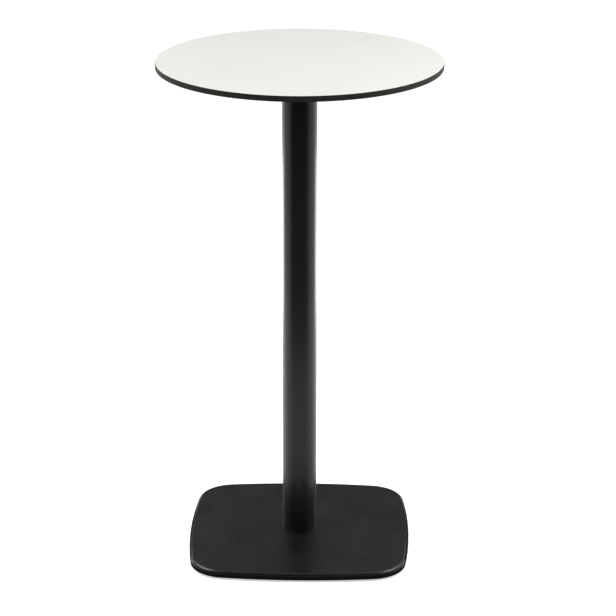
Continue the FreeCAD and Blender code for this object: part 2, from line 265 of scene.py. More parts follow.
class Graph(Nodes):
    """Nodes of one material, with short calls for what the finishes share."""

    def __init__(self, name: str) -> None:
        """Start a material with a surface shader and the piece's own coordinates.

        Args:
            name: Name of the material.
        """
        self.material = bpy.data.materials.new(name)
        self.material.use_nodes = True
        super().__init__(self.material.node_tree)
        self.output = self.add("ShaderNodeOutputMaterial")
        self.shader = self.add("ShaderNodeBsdfPrincipled")
        self.join(self.shader.outputs["BSDF"], self.output.inputs["Surface"])
        coordinates = self.add("ShaderNodeTexCoord")
        self.place = coordinates.outputs["Object"]
        self.normal = coordinates.outputs["Normal"]

    def set(self, **inputs: float | Colour) -> None:
        """Set constants on the surface shader, by input names with underscores for spaces."""
        for key, value in inputs.items():
            self.feed(self.shader.inputs[key.replace("_", " ")], value)

    def noise(
        self, size: float, detail: float = 2.0, stretch: Factors = (1.0, 1.0, 1.0)
    ) -> Socket:
        """Lay smooth noise over the piece.

        Args:
            size: Width of one blotch.
            detail: Octaves of finer noise on top.
            stretch: Factors by which the pattern is squeezed along X, Y and Z.

        Returns:
            Output from 0 to 1, around 0.5.
        """
        mapping = self.add("ShaderNodeMapping")
        mapping.inputs["Scale"].default_value = stretch
        self.join(self.place, mapping.inputs["Vector"])
        texture = self.add("ShaderNodeTexNoise")
        texture.inputs["Scale"].default_value = 1.0 / size
        texture.inputs["Detail"].default_value = detail
        self.join(mapping.outputs["Vector"], texture.inputs["Vector"])
        return texture.outputs[0]

    def cells(self, size: float) -> Socket:
        """Lay crystal-like cells over the piece.

        Args:
            size: Width of one cell.

        Returns:
            Random shade of each cell, from 0 to 1.
        """
        texture = self.add("ShaderNodeTexVoronoi", feature="F1")
        texture.inputs["Scale"].default_value = 1.0 / size
        self.join(self.place, texture.inputs["Vector"])
        return texture.outputs["Color"]

    def swing(
        self, source: Socket, mean: float, reach: float, span: Span = NOISE_SPAN
    ) -> Socket:
        """Let a value swing by a reach about a mean, as a noise swings over its span."""
        return self.spread(source, *span, mean - reach, mean + reach)

    def sum(self, first: Socket, second: Socket, share: float = 1.0) -> Socket:
        """Add a share of one value to another.

        Args:
            first: Value taken whole.
            second: Value of which a share is added.
            share: How much of the second is added.

        Returns:
            The sum.
        """
        node = self.add("ShaderNodeMath", operation="MULTIPLY_ADD")
        self.join(second, node.inputs[0])
        node.inputs[1].default_value = share
        self.join(first, node.inputs[2])
        return node.outputs["Value"]

    def blend(self, factor: Socket, first: Socket | Colour, second: Socket | Colour) -> Socket:
        """Mix two colours.

        Args:
            factor: Share of the second colour.
            first: Colour at factor 0.
            second: Colour at factor 1.

        Returns:
            The mixed colour.
        """
        node = self.add("ShaderNodeMix", data_type="RGBA")
        self.join(factor, node.inputs["Factor"])
        colours = [entry for entry in node.inputs if entry.type == "RGBA"]
        self.feed(colours[0], first)
        self.feed(colours[1], second)
        return next(entry for entry in node.outputs if entry.type == "RGBA")

    def edges(self, radius: float) -> Socket:
        """Find the edges of the surface.

        Args:
            radius: How far from an edge the mask reaches.

        Returns:
            Mask that is 0 on the flats and 1 on the edges.
        """
        rounded = self.add("ShaderNodeBevel", samples=EDGE_SAMPLES)
        rounded.inputs["Radius"].default_value = radius
        geometry = self.add("ShaderNodeNewGeometry")
        likeness = self.add("ShaderNodeVectorMath", operation="DOT_PRODUCT")
        self.join(rounded.outputs["Normal"], likeness.inputs[0])
        self.join(geometry.outputs["Normal"], likeness.inputs[1])
        return self.spread(likeness.outputs["Value"], *EDGE_LIKENESS)

    def level(self) -> Socket:
        """Find the level faces.

        Returns:
            Mask that is 1 on level faces and 0 on upright ones.
        """
        way = self.add("ShaderNodeSeparateXYZ")
        self.join(self.normal, way.inputs["Vector"])
        upward = self.add("ShaderNodeMath", operation="ABSOLUTE")
        self.join(way.outputs["Z"], upward.inputs[0])
        return self.spread(upward.outputs["Value"], *LEVEL_SHARE)

    def relief(self, height: Socket, strength: float, depth: float) -> None:
        """Raise the surface by a height.

        Args:
            height: Height from 0 to 1.
            strength: How strongly the relief shows.
            depth: Depth of the full height.
        """
        bump = self.add("ShaderNodeBump")
        bump.inputs["Strength"].default_value = strength
        bump.inputs["Distance"].default_value = depth
        self.join(height, bump.inputs["Height"])
        self.join(bump.outputs["Normal"], self.shader.inputs["Normal"])

    def colour(self, value: Socket) -> None:
        """Link the base colour."""
        self.join(value, self.shader.inputs["Base Color"])

    def roughness(self, value: Socket) -> None:
        """Link the roughness."""
        self.join(value, self.shader.inputs["Roughness"])


@dataclass(frozen=True)
class Finish(ABC):
    """A surface finish for one slot of the record.

    Attributes:
        slot: Slot that takes the finish.
        tone: Main colour.
        accent: Second colour, towards which the first wanders.
    """

    slot: Slot
    tone: Colour
    accent: Colour

    @abstractmethod
    def lay(self, graph: Graph) -> None:
        """Lay the nodes of the finish in a graph."""

    def material(self) -> bpy.types.Material:
        """Make the material of the finish.

        Returns:
            The material.
        """
        graph = Graph(f"{self.slot.value}_finish")
        self.lay(graph)
        return graph.material


@dataclass(frozen=True)
class PowderCoat(Finish):
    """Fine-texture powder coat, thinner and smoother along the edges, where it is paler with wear
    and with a painted highlight.

    Attributes:
        roughness: Mean roughness.
        gloss: Level of the mirror-like part of the coat.
        sleek: Share of a smoother skin on the coat.
        sleek_roughness: Roughness of that skin.
        sleek_index: Refractive index of that skin.
        drift: Width of the slow changes of colour and roughness.
        drift_swing: Swing of the roughness with these changes.
        peel: Width of the dimples left by the flow of the coat.
        peel_share: Share of the dimples in the relief.
        grain: Width of the grains.
        grain_swing: Swing of the roughness with the grains.
        grain_span: Heights of the grains at the ends of that swing.
        thin_span: Heights of the grains between which the wear of the coat sets in.
        thin_share: Share of the pale colour of wear on the highest grains.
        wear_and_highlight_tone: Pale colour of the coat where it wears, also painted along the
            edges as a highlight.
        edge: How far the wear and the painted highlight reach from an edge.
        edge_share: Share of the pale colour on an edge, part wear and part painted highlight.
        edge_polish: Roughness that an edge has lost.
        relief: How strongly the relief shows.
        depth: Depth of the relief.
    """

    roughness: float = 0.42
    gloss: float = 0.3
    sleek: float = 0.0
    sleek_roughness: float = 0.2
    sleek_index: float = 1.35
    drift: float = 90 * MM
    drift_swing: float = 0.03
    peel: float = 6 * MM
    peel_share: float = 0.8
    grain: float = 0.7 * MM
    grain_swing: float = 0.05
    grain_span: Span = (0.35, 0.65)
    thin_span: Span = (0.62, 0.8)
    thin_share: float = 0.2
    wear_and_highlight_tone: Colour = (0.035, 0.035, 0.034)
    edge: float = 1.2 * MM
    edge_share: float = 0.35
    edge_polish: float = 0.06
    relief: float = 0.35
    depth: float = 0.05 * MM

    def lay(self, graph: Graph) -> None:
        """Lay grain, slow drift of colour and gloss, and paler edges of wear and painted
        highlight.

        Args:
            graph: Graph of the material.
        """
        drift = graph.noise(self.drift, detail=3.0)
        peel = graph.noise(self.peel, detail=1.0)
        grain = graph.noise(self.grain, detail=3.0)
        edge = graph.edges(self.edge)
        body = graph.blend(graph.spread(drift, *NOISE_SPAN), self.tone, self.accent)
        # Pale colour: wear on the highest grains, and along the edges wear together with a painted
        # highlight
        wear_and_highlight = graph.sum(
            graph.spread(edge, 0.0, 1.0, 0.0, self.edge_share),
            graph.spread(grain, *self.thin_span, 0.0, self.thin_share),
        )
        graph.colour(graph.blend(wear_and_highlight, body, self.wear_and_highlight_tone))
        matt = graph.sum(
            graph.swing(drift, self.roughness, self.drift_swing),
            graph.swing(grain, 0.0, self.grain_swing, self.grain_span),
        )
        graph.roughness(graph.sum(matt, edge, -self.edge_polish))
        graph.set(
            Specular_IOR_Level=self.gloss,
            Coat_Weight=self.sleek,
            Coat_Roughness=self.sleek_roughness,
            Coat_IOR=self.sleek_index,
        )
        graph.relief(graph.sum(grain, peel, self.peel_share), self.relief, self.depth)


@dataclass(frozen=True)
class DecorSheet(Finish):
    """Satin melamine decor with a pearl-like fine texture.

    Attributes:
        rim: Colour of the sheet's cut rim, below the decor.
        clouds: Width of the faint clouds of colour.
        pearl: Width of the pearls of the texture.
        pearl_span: Heights of the pearls between which their shade deepens.
        pearl_share: Share of the deep shade on the highest pearls.
        pearl_tint: Lightness of the deep shade, as a share of the tone's.
        pearl_swing: Swing of the roughness with the pearls.
        wipe: Width of the wiped streaks.
        wipe_stretch: Factors that draw the streaks out along X.
        roughness: Least and greatest roughness of the streaks.
        relief: How strongly the pearls show.
        depth: Depth of the pearls.
    """

    rim: Colour = (0.014, 0.014, 0.0125)
    clouds: float = 140 * MM
    pearl: float = 0.9 * MM
    pearl_span: Span = (0.55, 0.75)
    pearl_share: float = 0.25
    pearl_tint: float = 0.93
    pearl_swing: float = 0.05
    wipe: float = 30 * MM
    wipe_stretch: Factors = (0.25, 1.0, 1.0)
    roughness: Span = (0.38, 0.47)
    relief: float = 0.25
    depth: float = 0.03 * MM

    def lay(self, graph: Graph) -> None:
        """Lay the pearl texture, faint clouds, the wiped look of a used face and the cut rim.

        Args:
            graph: Graph of the material.
        """
        clouds = graph.noise(self.clouds, detail=4.0)
        pearl = graph.noise(self.pearl, detail=3.0)
        wiped = graph.noise(self.wipe, detail=3.0, stretch=self.wipe_stretch)
        body = graph.blend(graph.spread(clouds, *NOISE_SPAN), self.tone, self.accent)
        shade = graph.spread(pearl, *self.pearl_span, 0.0, self.pearl_share)
        face = graph.blend(shade, body, tinted(self.tone, self.pearl_tint))
        graph.colour(graph.blend(graph.level(), self.rim, face))
        matt = graph.spread(wiped, *NOISE_SPAN, *self.roughness)
        graph.roughness(graph.sum(matt, graph.swing(pearl, 0.0, self.pearl_swing)))
        graph.relief(pearl, self.relief, self.depth)


@dataclass(frozen=True)
class LaminateCore(Finish):
    """Pressed dark core with its layers showing on the machined edge.

    Attributes:
        layer: Width of the pattern of layers, before it is stretched.
        layer_stretch: Factors that make the pattern wide and thin.
        layer_span: Values of the pattern between which the colour changes.
        layer_swing: Roughness that the layers add.
        marks: Width of the machining marks.
        marks_share: Share of the marks in the relief.
        roughness: Least and greatest roughness of the marks.
        gloss: Level of the mirror-like part.
        edge: How far the polish reaches from an arris.
        edge_share: Share of the pale colour on an arris.
        edge_tint: Lightness of the pale colour, as a multiple of the accent's.
        relief: How strongly the relief shows.
        depth: Depth of the relief.
    """

    layer: float = 2.5 * MM
    layer_stretch: Factors = (0.06, 0.06, 9.0)
    layer_span: Span = (0.35, 0.65)
    layer_swing: float = 0.08
    marks: float = 3 * MM
    marks_share: float = 0.5
    roughness: Span = (0.42, 0.54)
    gloss: float = 0.09
    edge: float = 0.6 * MM
    edge_share: float = 0.25
    edge_tint: float = 1.8
    relief: float = 0.2
    depth: float = 0.04 * MM

    def lay(self, graph: Graph) -> None:
        """Lay thin level layers, machining marks and a polished arris.

        Args:
            graph: Graph of the material.
        """
        layers = graph.noise(self.layer, stretch=self.layer_stretch)
        marks = graph.noise(self.marks)
        arris = graph.spread(graph.edges(self.edge), 0.0, 1.0, 0.0, self.edge_share)
        body = graph.blend(graph.spread(layers, *self.layer_span), self.tone, self.accent)
        graph.colour(graph.blend(arris, body, tinted(self.accent, self.edge_tint)))
        matt = graph.spread(marks, *NOISE_SPAN, *self.roughness)
        graph.roughness(graph.sum(matt, layers, self.layer_swing))
        graph.set(Specular_IOR_Level=self.gloss)
        graph.relief(graph.sum(layers, marks, self.marks_share), self.relief, self.depth)


@dataclass(frozen=True)
class PlatedSteel(Finish):
    """Zinc-plated steel with a fine crystal pattern.

    Attributes:
        crystal: Width of a crystal.
        crystal_share: Share of the accent on the palest crystals.
        dull: Width of the dull patches.
        roughness: Least and greatest roughness of the patches.
        edge: How far the rubbing reaches from an edge.
        edge_tint: Lightness of a rubbed edge, as a multiple of the tone's.
        edge_polish: Roughness that an edge has lost.
        relief: How strongly the patches show.
        depth: Depth of the patches.
    """

    crystal: float = 0.6 * MM
    crystal_share: float = 0.6
    dull: float = 5 * MM
    roughness: Span = (0.30, 0.48)
    edge: float = 0.3 * MM
    edge_tint: float = 1.25
    edge_polish: float = 0.08
    relief: float = 0.1
    depth: float = 0.02 * MM

    def lay(self, graph: Graph) -> None:
        """Lay crystals, dull patches and bright rubbed edges.

        Args:
            graph: Graph of the material.
        """
        crystals = graph.spread(graph.cells(self.crystal), 0.0, 1.0, 0.0, self.crystal_share)
        dull = graph.noise(self.dull, detail=4.0)
        edge = graph.edges(self.edge)
        body = graph.blend(crystals, self.tone, self.accent)
        graph.colour(graph.blend(edge, body, tinted(self.tone, self.edge_tint)))
        matt = graph.spread(dull, *NOISE_SPAN, *self.roughness)
        graph.roughness(graph.sum(matt, edge, -self.edge_polish))
        graph.set(Metallic=1.0)
        graph.relief(dull, self.relief, self.depth)


@dataclass(frozen=True)
class TurnedBrass(Finish):
    """Turned brass with fine tool rings.

    Attributes:
        ring: Width of the pattern of tool rings, before it is stretched.
        ring_stretch: Factors that make the pattern wide and thin.
        tarnish: Width of the tarnished patches.
        tarnish_span: Values of the patches between which the tarnish sets in.
        tarnish_share: Share of the accent where the tarnish is full.
        roughness: Least and greatest roughness of the rings.
        relief: How strongly the rings show.
        depth: Depth of the rings.
    """

    ring: float = 0.8 * MM
    ring_stretch: Factors = (0.05, 0.05, 4.0)
    tarnish: float = 4 * MM
    tarnish_span: Span = (0.45, 0.75)
    tarnish_share: float = 0.7
    roughness: Span = (0.22, 0.38)
    relief: float = 0.2
    depth: float = 0.02 * MM

    def lay(self, graph: Graph) -> None:
        """Lay tool rings along the axis and a light tarnish.

        Args:
            graph: Graph of the material.
        """
        rings = graph.noise(self.ring, detail=1.0, stretch=self.ring_stretch)
        tarnish = graph.noise(self.tarnish, detail=4.0)
        film = graph.spread(tarnish, *self.tarnish_span, 0.0, self.tarnish_share)
        graph.colour(graph.blend(film, self.tone, self.accent))
        graph.roughness(graph.spread(rings, *NOISE_SPAN, *self.roughness))
        graph.set(Metallic=1.0)
        graph.relief(rings, self.relief, self.depth)


@dataclass(frozen=True)
class DarkPolymer(Finish):
    """Moulded rubber or plastic with a spark-eroded grain.

    Attributes:
        roughness: Mean roughness.
        gloss: Level of the mirror-like part.
        grain: Width of the grains of the mould's texture.
        grain_swing: Swing of the roughness with the grains.
        bloom: Width of the dusty patches.
        bloom_span: Values of the patches between which the dust sets in.
        bloom_share: Share of the accent where the dust is full.
        edge: How far the scuffs reach from an edge.
        edge_share: Share of the scuffed colour on an edge.
        edge_tint: Lightness of the scuffed colour, as a multiple of the accent's.
        relief: How strongly the grains show.
        depth: Depth of the grains.
    """

    roughness: float = 0.6
    gloss: float = 0.35
    grain: float = 0.5 * MM
    grain_swing: float = 0.08
    bloom: float = 8 * MM
    bloom_span: Span = (0.4, 0.75)
    bloom_share: float = 0.8
    edge: float = 0.5 * MM
    edge_share: float = 0.5
    edge_tint: float = 1.6
    relief: float = 0.3
    depth: float = 0.04 * MM

    def lay(self, graph: Graph) -> None:
        """Lay the mould's grain, a dusty bloom and scuffed edges.

        Args:
            graph: Graph of the material.
        """
        grain = graph.noise(self.grain)
        bloom = graph.noise(self.bloom, detail=4.0)
        dust = graph.spread(bloom, *self.bloom_span, 0.0, self.bloom_share)
        scuffs = graph.spread(graph.edges(self.edge), 0.0, 1.0, 0.0, self.edge_share)
        body = graph.blend(dust, self.tone, self.accent)
        graph.colour(graph.blend(scuffs, body, tinted(self.accent, self.edge_tint)))
        graph.roughness(graph.swing(grain, self.roughness, self.grain_swing))
        graph.set(Specular_IOR_Level=self.gloss)
        graph.relief(grain, self.relief, self.depth)


class Palette:
    """Materials of the table, one for each slot of the record."""

    def __init__(self, finishes: Sequence[Finish]) -> None:
        """Make the material of each finish."""
        self.materials = {finish.slot: finish.material() for finish in finishes}

    def dress(self, piece: Piece, slot: Slot) -> None:
        """Give a new piece its material.

        Args:
            piece: Piece without materials.
            slot: Slot whose finish it takes.
        """
        piece.data.materials.clear()
        piece.data.materials.append(self.materials[slot])

    def dress_solid(self, solid: Piece, slot: Slot) -> None:
        """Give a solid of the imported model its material."""
        for holder in solid.material_slots:
            holder.material = self.materials[slot]


class Bench:
    """Modelling moves that the pieces share, each a run of Blender's operators."""

    @staticmethod
    def clear() -> None:
        """Deselect everything."""
        bpy.ops.object.select_all(action="DESELECT")

    @staticmethod
    def hold(piece: Piece) -> None:
        """Select one piece alone and make it active.

        Args:
            piece: Piece to hold.
        """
        Bench.clear()
        piece.select_set(True)
        bpy.context.view_layer.objects.active = piece

    @staticmethod
    @contextmanager
    def edit(piece: Piece) -> Iterator[None]:
        """Open a piece in edit mode with all of it selected, and close it afterwards.

        Args:
            piece: Piece to open.

        Yields:
            Nothing, while the piece is open.
        """
        Bench.hold(piece)
        bpy.ops.object.mode_set(mode="EDIT")
        bpy.ops.mesh.select_mode(type="VERT")
        bpy.ops.mesh.select_all(action="SELECT")
        yield
        bpy.ops.object.mode_set(mode="OBJECT")

    @staticmethod
    def added(name: str) -> Piece:
        """Name the primitive that was just added and write its place into its mesh.

        Args:
            name: Name of the piece.

        Returns:
            The piece, at the origin.
        """
        piece = bpy.context.object
        piece.name = name
        piece.data.name = name
        bpy.ops.object.transform_apply(location=True, rotation=True, scale=True)
        return piece

    @staticmethod
    def discard(*pieces: Piece) -> None:
        """Remove patterns and tools that have done their work."""
        for piece in pieces:
            bpy.data.objects.remove(piece)

    @staticmethod
    def modify(piece: Piece, kind: str, **settings: Any) -> None:
        """Add a modifier and apply it.

        Args:
            piece: Piece to modify.
            kind: Blender's name for the kind of modifier.
            settings: Properties to set on the modifier.
        """
        Bench.hold(piece)
        modifier = piece.modifiers.new(kind.lower(), kind)
        for key, value in settings.items():
            setattr(modifier, key, value)
        bpy.ops.object.modifier_apply(modifier=modifier.name)

    @staticmethod
    def soften(piece: Piece, width: float, segments: int = 2, angle: float = SHARP) -> None:
        """Round the sharp edges of a piece and smooth its faces.

        Args:
            piece: Piece to soften.
            width: Width of the rounding.
            segments: Facets across the rounding.
            angle: Least angle in degrees between faces that makes an edge sharp.
        """
        Bench.modify(
            piece,
            "BEVEL",
            width=width,
            segments=segments,
            limit_method="ANGLE",
            angle_limit=math.radians(angle),
        )
        Bench.smooth(piece, angle)

    @staticmethod
    def smooth(piece: Piece, angle: float = SHARP) -> None:
        """Shade a piece smooth, except over edges sharper than an angle in degrees."""
        Bench.hold(piece)
        bpy.ops.object.shade_smooth_by_angle(angle=math.radians(angle))

    @staticmethod
    def trim(place: Place | Vector, way: Place | Vector, close: bool = False) -> None:
        """Cut the piece that is open in edit mode along a plane, and drop what lies beyond.

        Args:
            place: Point on the plane.
            way: Direction from the plane to what is dropped.
            close: Whether the cut is closed with a face.
        """
        bpy.ops.mesh.select_all(action="SELECT")
        bpy.ops.mesh.bisect(
            plane_co=place, plane_no=way, use_fill=close, clear_outer=True, threshold=TRUE
        )

    @staticmethod
    def line(name: str, profile: Profile) -> Piece:
        """Draw a profile as a chain of edges in the XZ plane.

        Args:
            name: Name of the piece.
            profile: Corners as radius and height, in order.

        Returns:
            The chain.
        """
        Bench.clear()
        radius, height = profile[0]
        bpy.ops.mesh.primitive_plane_add(size=MM, location=(radius, 0.0, height))
        piece = Bench.added(name)
        with Bench.edit(piece):
            # The plane shrinks to the point where the chain starts
            bpy.ops.mesh.merge(type="CENTER")
            for (radius, height), (next_radius, next_height) in pairwise(profile):
                step = (next_radius - radius, 0.0, next_height - height)
                bpy.ops.mesh.extrude_vertices_move(TRANSFORM_OT_translate={"value": step})
        return piece

    @staticmethod
    def turned(name: str, profile: Profile, steps: int) -> Piece:
        """Turn a profile once round the Z axis.

        Args:
            name: Name of the piece.
            profile: Corners as radius and height, from axis to axis or back to the first.
            steps: Facets round the axis.

        Returns:
            The closed piece.
        """
        piece = Bench.line(name, profile)
        with Bench.edit(piece):
            bpy.ops.mesh.remove_doubles(threshold=WELD)
            bpy.ops.mesh.select_all(action="SELECT")
            bpy.ops.mesh.spin(steps=steps, angle=FULL_TURN, center=ORIGIN, axis=(0.0, 0.0, 1.0))
            bpy.ops.mesh.select_all(action="SELECT")
            bpy.ops.mesh.remove_doubles(threshold=WELD)
            bpy.ops.mesh.normals_make_consistent(inside=False)
        return piece

    @staticmethod
    def thread(
        name: str, crest: float, root: float, pitch: float, low: float, high: float
    ) -> Piece:
        """Cut a right-hand screw thread round the Z axis.

        Args:
            name: Name of the piece.
            crest: Outer radius.
            root: Radius at the bottom of the groove.
            pitch: Rise of one turn.
            low: Height of the lower end.
            high: Height of the upper end.

        Returns:
            The closed threaded rod.
        """
        below, above = SPARE_TURNS
        start = low - below * pitch
        radii = (root, root, crest, crest, root)
        shares = (0.0, *THREAD_SHARES, 1.0)
        turn = [(radius, start + share * pitch) for radius, share in zip(radii, shares)]
        piece = Bench.line(name, turn)
        Bench.modify(
            piece,
            "SCREW",
            axis="Z",
            angle=FULL_TURN,
            screw_offset=pitch,
            iterations=math.ceil((high - low) / pitch) + below + above,
            steps=THREAD_STEPS,
            render_steps=THREAD_STEPS,
            use_merge_vertices=True,
            merge_threshold=WELD,
        )
        with Bench.edit(piece):
            bpy.ops.mesh.remove_doubles(threshold=WELD)
            for height, way in ((low, -1.0), (high, 1.0)):
                Bench.trim((0.0, 0.0, height), (0.0, 0.0, way), close=True)
            bpy.ops.mesh.select_all(action="SELECT")
            bpy.ops.mesh.normals_make_consistent(inside=False)
        Bench.smooth(piece, FINE_SHARP)
        return piece

    @staticmethod
    def hex_corner(flats: float) -> float:
        """Radius of a hexagon's corners, from its width across the flats."""
        return flats / 2 / math.cos(math.pi / HEX_SIDES)

    @staticmethod
    def hexagonal(
        name: str, flats: float, low: float, high: float, turn: float = 2.0
    ) -> Piece:
        """Raise a six-sided bar on the Z axis.

        Args:
            name: Name of the piece.
            flats: Width across the flats.
            low: Height of the lower end.
            high: Height of the upper end.
            turn: Turn in degrees, which keeps its corners off the facets of what it cuts.

        Returns:
            The bar.
        """
        Bench.clear()
        bpy.ops.mesh.primitive_cylinder_add(
            vertices=HEX_SIDES,
            radius=Bench.hex_corner(flats),
            depth=high - low,
            location=(0.0, 0.0, (low + high) / 2),
            rotation=(0.0, 0.0, math.radians(turn)),
        )
        return Bench.added(name)

    @staticmethod
    def key_socket(piece: Piece, flats: float, depth: float, face: float) -> None:
        """Cut a six-sided key socket upwards into the lower face of a piece.

        Args:
            piece: Piece on the Z axis.
            flats: Width of the socket across its flats.
            depth: Depth of the socket.
            face: Height of the lower face.
        """
        key = Bench.hexagonal("key", flats, face - MM, face + depth)
        Bench.modify(piece, "BOOLEAN", operation="DIFFERENCE", solver="EXACT", object=key)
        Bench.discard(key)

    @staticmethod
    def copy(piece: Piece, name: str, place: Place) -> Piece:
        """Copy a piece with a mesh of its own.

        Args:
            piece: Piece to copy.
            name: Name of the copy.
            place: Where the copy goes, seen from the piece.

        Returns:
            The copy, with its object at the origin.
        """
        twin = bpy.data.objects.new(name, piece.data.copy())
        twin.data.name = name
        twin.data.transform(Matrix.Translation(place))
        bpy.context.scene.collection.objects.link(twin)
        return twin

    @staticmethod
    def gather(name: str, pieces: Sequence[Piece]) -> Piece:
        """Join pieces into one.

        Args:
            name: Name of the joined piece.
            pieces: Pieces to join.

        Returns:
            The joined piece.
        """
        Bench.hold(pieces[0])
        for piece in pieces[1:]:
            piece.select_set(True)
        bpy.ops.object.join()
        joined = bpy.context.object
        joined.name = name
        joined.data.name = name
        return joined

    @staticmethod
    def repeat(piece: Piece, name: str, places: Sequence[Pair]) -> Piece:
        """Set a copy of a piece at each place, joined into one piece, and remove the pattern.

        Args:
            piece: Pattern, on the Z axis.
            name: Name of the joined piece.
            places: Where the copies stand on X and Y.

        Returns:
            The joined piece.
        """
        copies = [
            Bench.copy(piece, f"{name}_{index}", (x, y, 0.0))
            for index, (x, y) in enumerate(places)
        ]
        Bench.discard(piece)
        return Bench.gather(name, copies)

    @staticmethod
    def merged(solid: Piece, name: str) -> Piece:
        """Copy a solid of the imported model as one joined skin.

        Args:
            solid: Solid to copy.
            name: Name of the copy.

        Returns:
            The copy, with flat areas as single faces.
        """
        piece = Bench.copy(solid, name, ORIGIN)
        with Bench.edit(piece):
            bpy.ops.mesh.customdata_custom_splitnormals_clear()
            bpy.ops.mesh.remove_doubles(threshold=WELD)
            bpy.ops.mesh.dissolve_limited(angle_limit=math.radians(FLAT))
        return piece


@dataclass
class SubAssembly(ABC):
    """Pieces of the table that are made together.

    Attributes:
        solids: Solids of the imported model, by name.
        palette: Materials of the table.
    """

    solids: dict[str, Piece]
    palette: Palette

    @abstractmethod
    def build(self) -> list[Piece]:
        """Make and dress the pieces, and list them."""

    def hand_over(self, piece: Piece, slot: Slot, solid: str, body: str = "table") -> Piece:
        """Dress a piece, let its large faces shade straight, and put it in place of a solid.

        Args:
            piece: Finished piece.
            slot: Slot whose finish it takes.
            solid: Solid that it stands for.
            body: Body that it moves with.

        Returns:
            The piece.
        """
        Bench.modify(piece, "WEIGHTED_NORMAL", keep_sharp=True)
        self.palette.dress(piece, slot)
        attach(piece, body)
        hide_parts(solid)
        return piece

    def keep(self, solid: str, slot: Slot) -> Piece:
        """Show a solid as it is, with its finish."""
        self.palette.dress_solid(self.solids[solid], slot)
        return self.solids[solid]


def arm_places(circles: Sequence[float]) -> list[Pair]:
    """List the places on X and Y where circles of screws cross the spider's four arms."""
    ways = ((1, 0), (0, 1), (-1, 0), (0, -1))
    return [(circle * x, circle * y) for circle in circles for x, y in ways]


def ring_profile(inner: float, outer: float, low: float, high: float) -> Profile:
    """List the corners of a flat ring's section as radius and height, back to the first."""
    return [(inner, low), (outer, low), (outer, high), (inner, high), (inner, low)]


@dataclass
class TopPanel(SubAssembly):
    """Round panel of compact laminate with its two decor sheets and the brass inserts.

    Attributes:
        insert_radius: Radius of an insert at the tips of its knurl.
        bore_radius: Radius of an insert's bore.
        knurl_depth: Depth of the knurl.
        knurl_teeth: Teeth round an insert.
        knurl_sharp: Least angle in degrees that makes an edge of an insert sharp.
        waist: Heights of the groove between the knurled bands, as shares of the length.
        lead: Height of the chamfer that leads an insert into the panel.
        screw_circles: Distances of the inserts from the axis.
    """

    insert_radius: float = 5.0 * MM
    bore_radius: float = 3.05 * MM
    knurl_depth: float = 0.35 * MM
    knurl_teeth: int = 24
    knurl_sharp: float = 20.0
    waist: tuple[float, float, float, float] = (0.40, 0.45, 0.55, 0.60)
    lead: float = 0.3 * MM
    screw_circles: Pair = SCREW_CIRCLES

    def build(self) -> list[Piece]:
        """Dress the panel's layers and make the inserts.

        Returns:
            The layers and the inserts.
        """
        return [
            self.keep("top_face_sheet", Slot.DECOR),
            self.keep("top_backing_sheet", Slot.DECOR),
            self.keep("top_core", Slot.CORE),
            self.hand_over(self.inserts(), Slot.BRASS, "top_inserts"),
        ]

    def inserts(self) -> Piece:
        """Turn one insert with two knurled bands, and set a copy over each screw.

        Returns:
            The inserts as one piece.
        """
        low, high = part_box("top_inserts")
        tip, neck = self.insert_radius, self.insert_radius - self.knurl_depth
        waist = [low.z + share * (high.z - low.z) for share in self.waist]
        profile = [
            (self.bore_radius, low.z),
            (tip, low.z),
            *zip((tip, neck, neck, tip), waist),
            (tip, high.z - self.lead),
            (neck, high.z),
            (self.bore_radius, high.z),
            (self.bore_radius, low.z),
        ]
        steps = 2 * self.knurl_teeth
        insert = Bench.turned("insert", profile, steps)
        with Bench.edit(insert):
            bpy.ops.mesh.select_all(action="DESELECT")
            bpy.ops.object.mode_set(mode="OBJECT")
            for vertex in insert.data.vertices:
                step = round(math.atan2(vertex.co.y, vertex.co.x) / FULL_TURN * steps)
                outside = vertex.co.xy.length > tip - WELD
                vertex.select = outside and step % 2 == 0 and vertex.co.z > low.z + WELD
            bpy.ops.object.mode_set(mode="EDIT")
            groove = (neck / tip, neck / tip, 1.0)
            bpy.ops.transform.resize(value=groove, center_override=ORIGIN)
        Bench.smooth(insert, self.knurl_sharp)
        return Bench.repeat(insert, "knurled_inserts", arm_places(self.screw_circles))


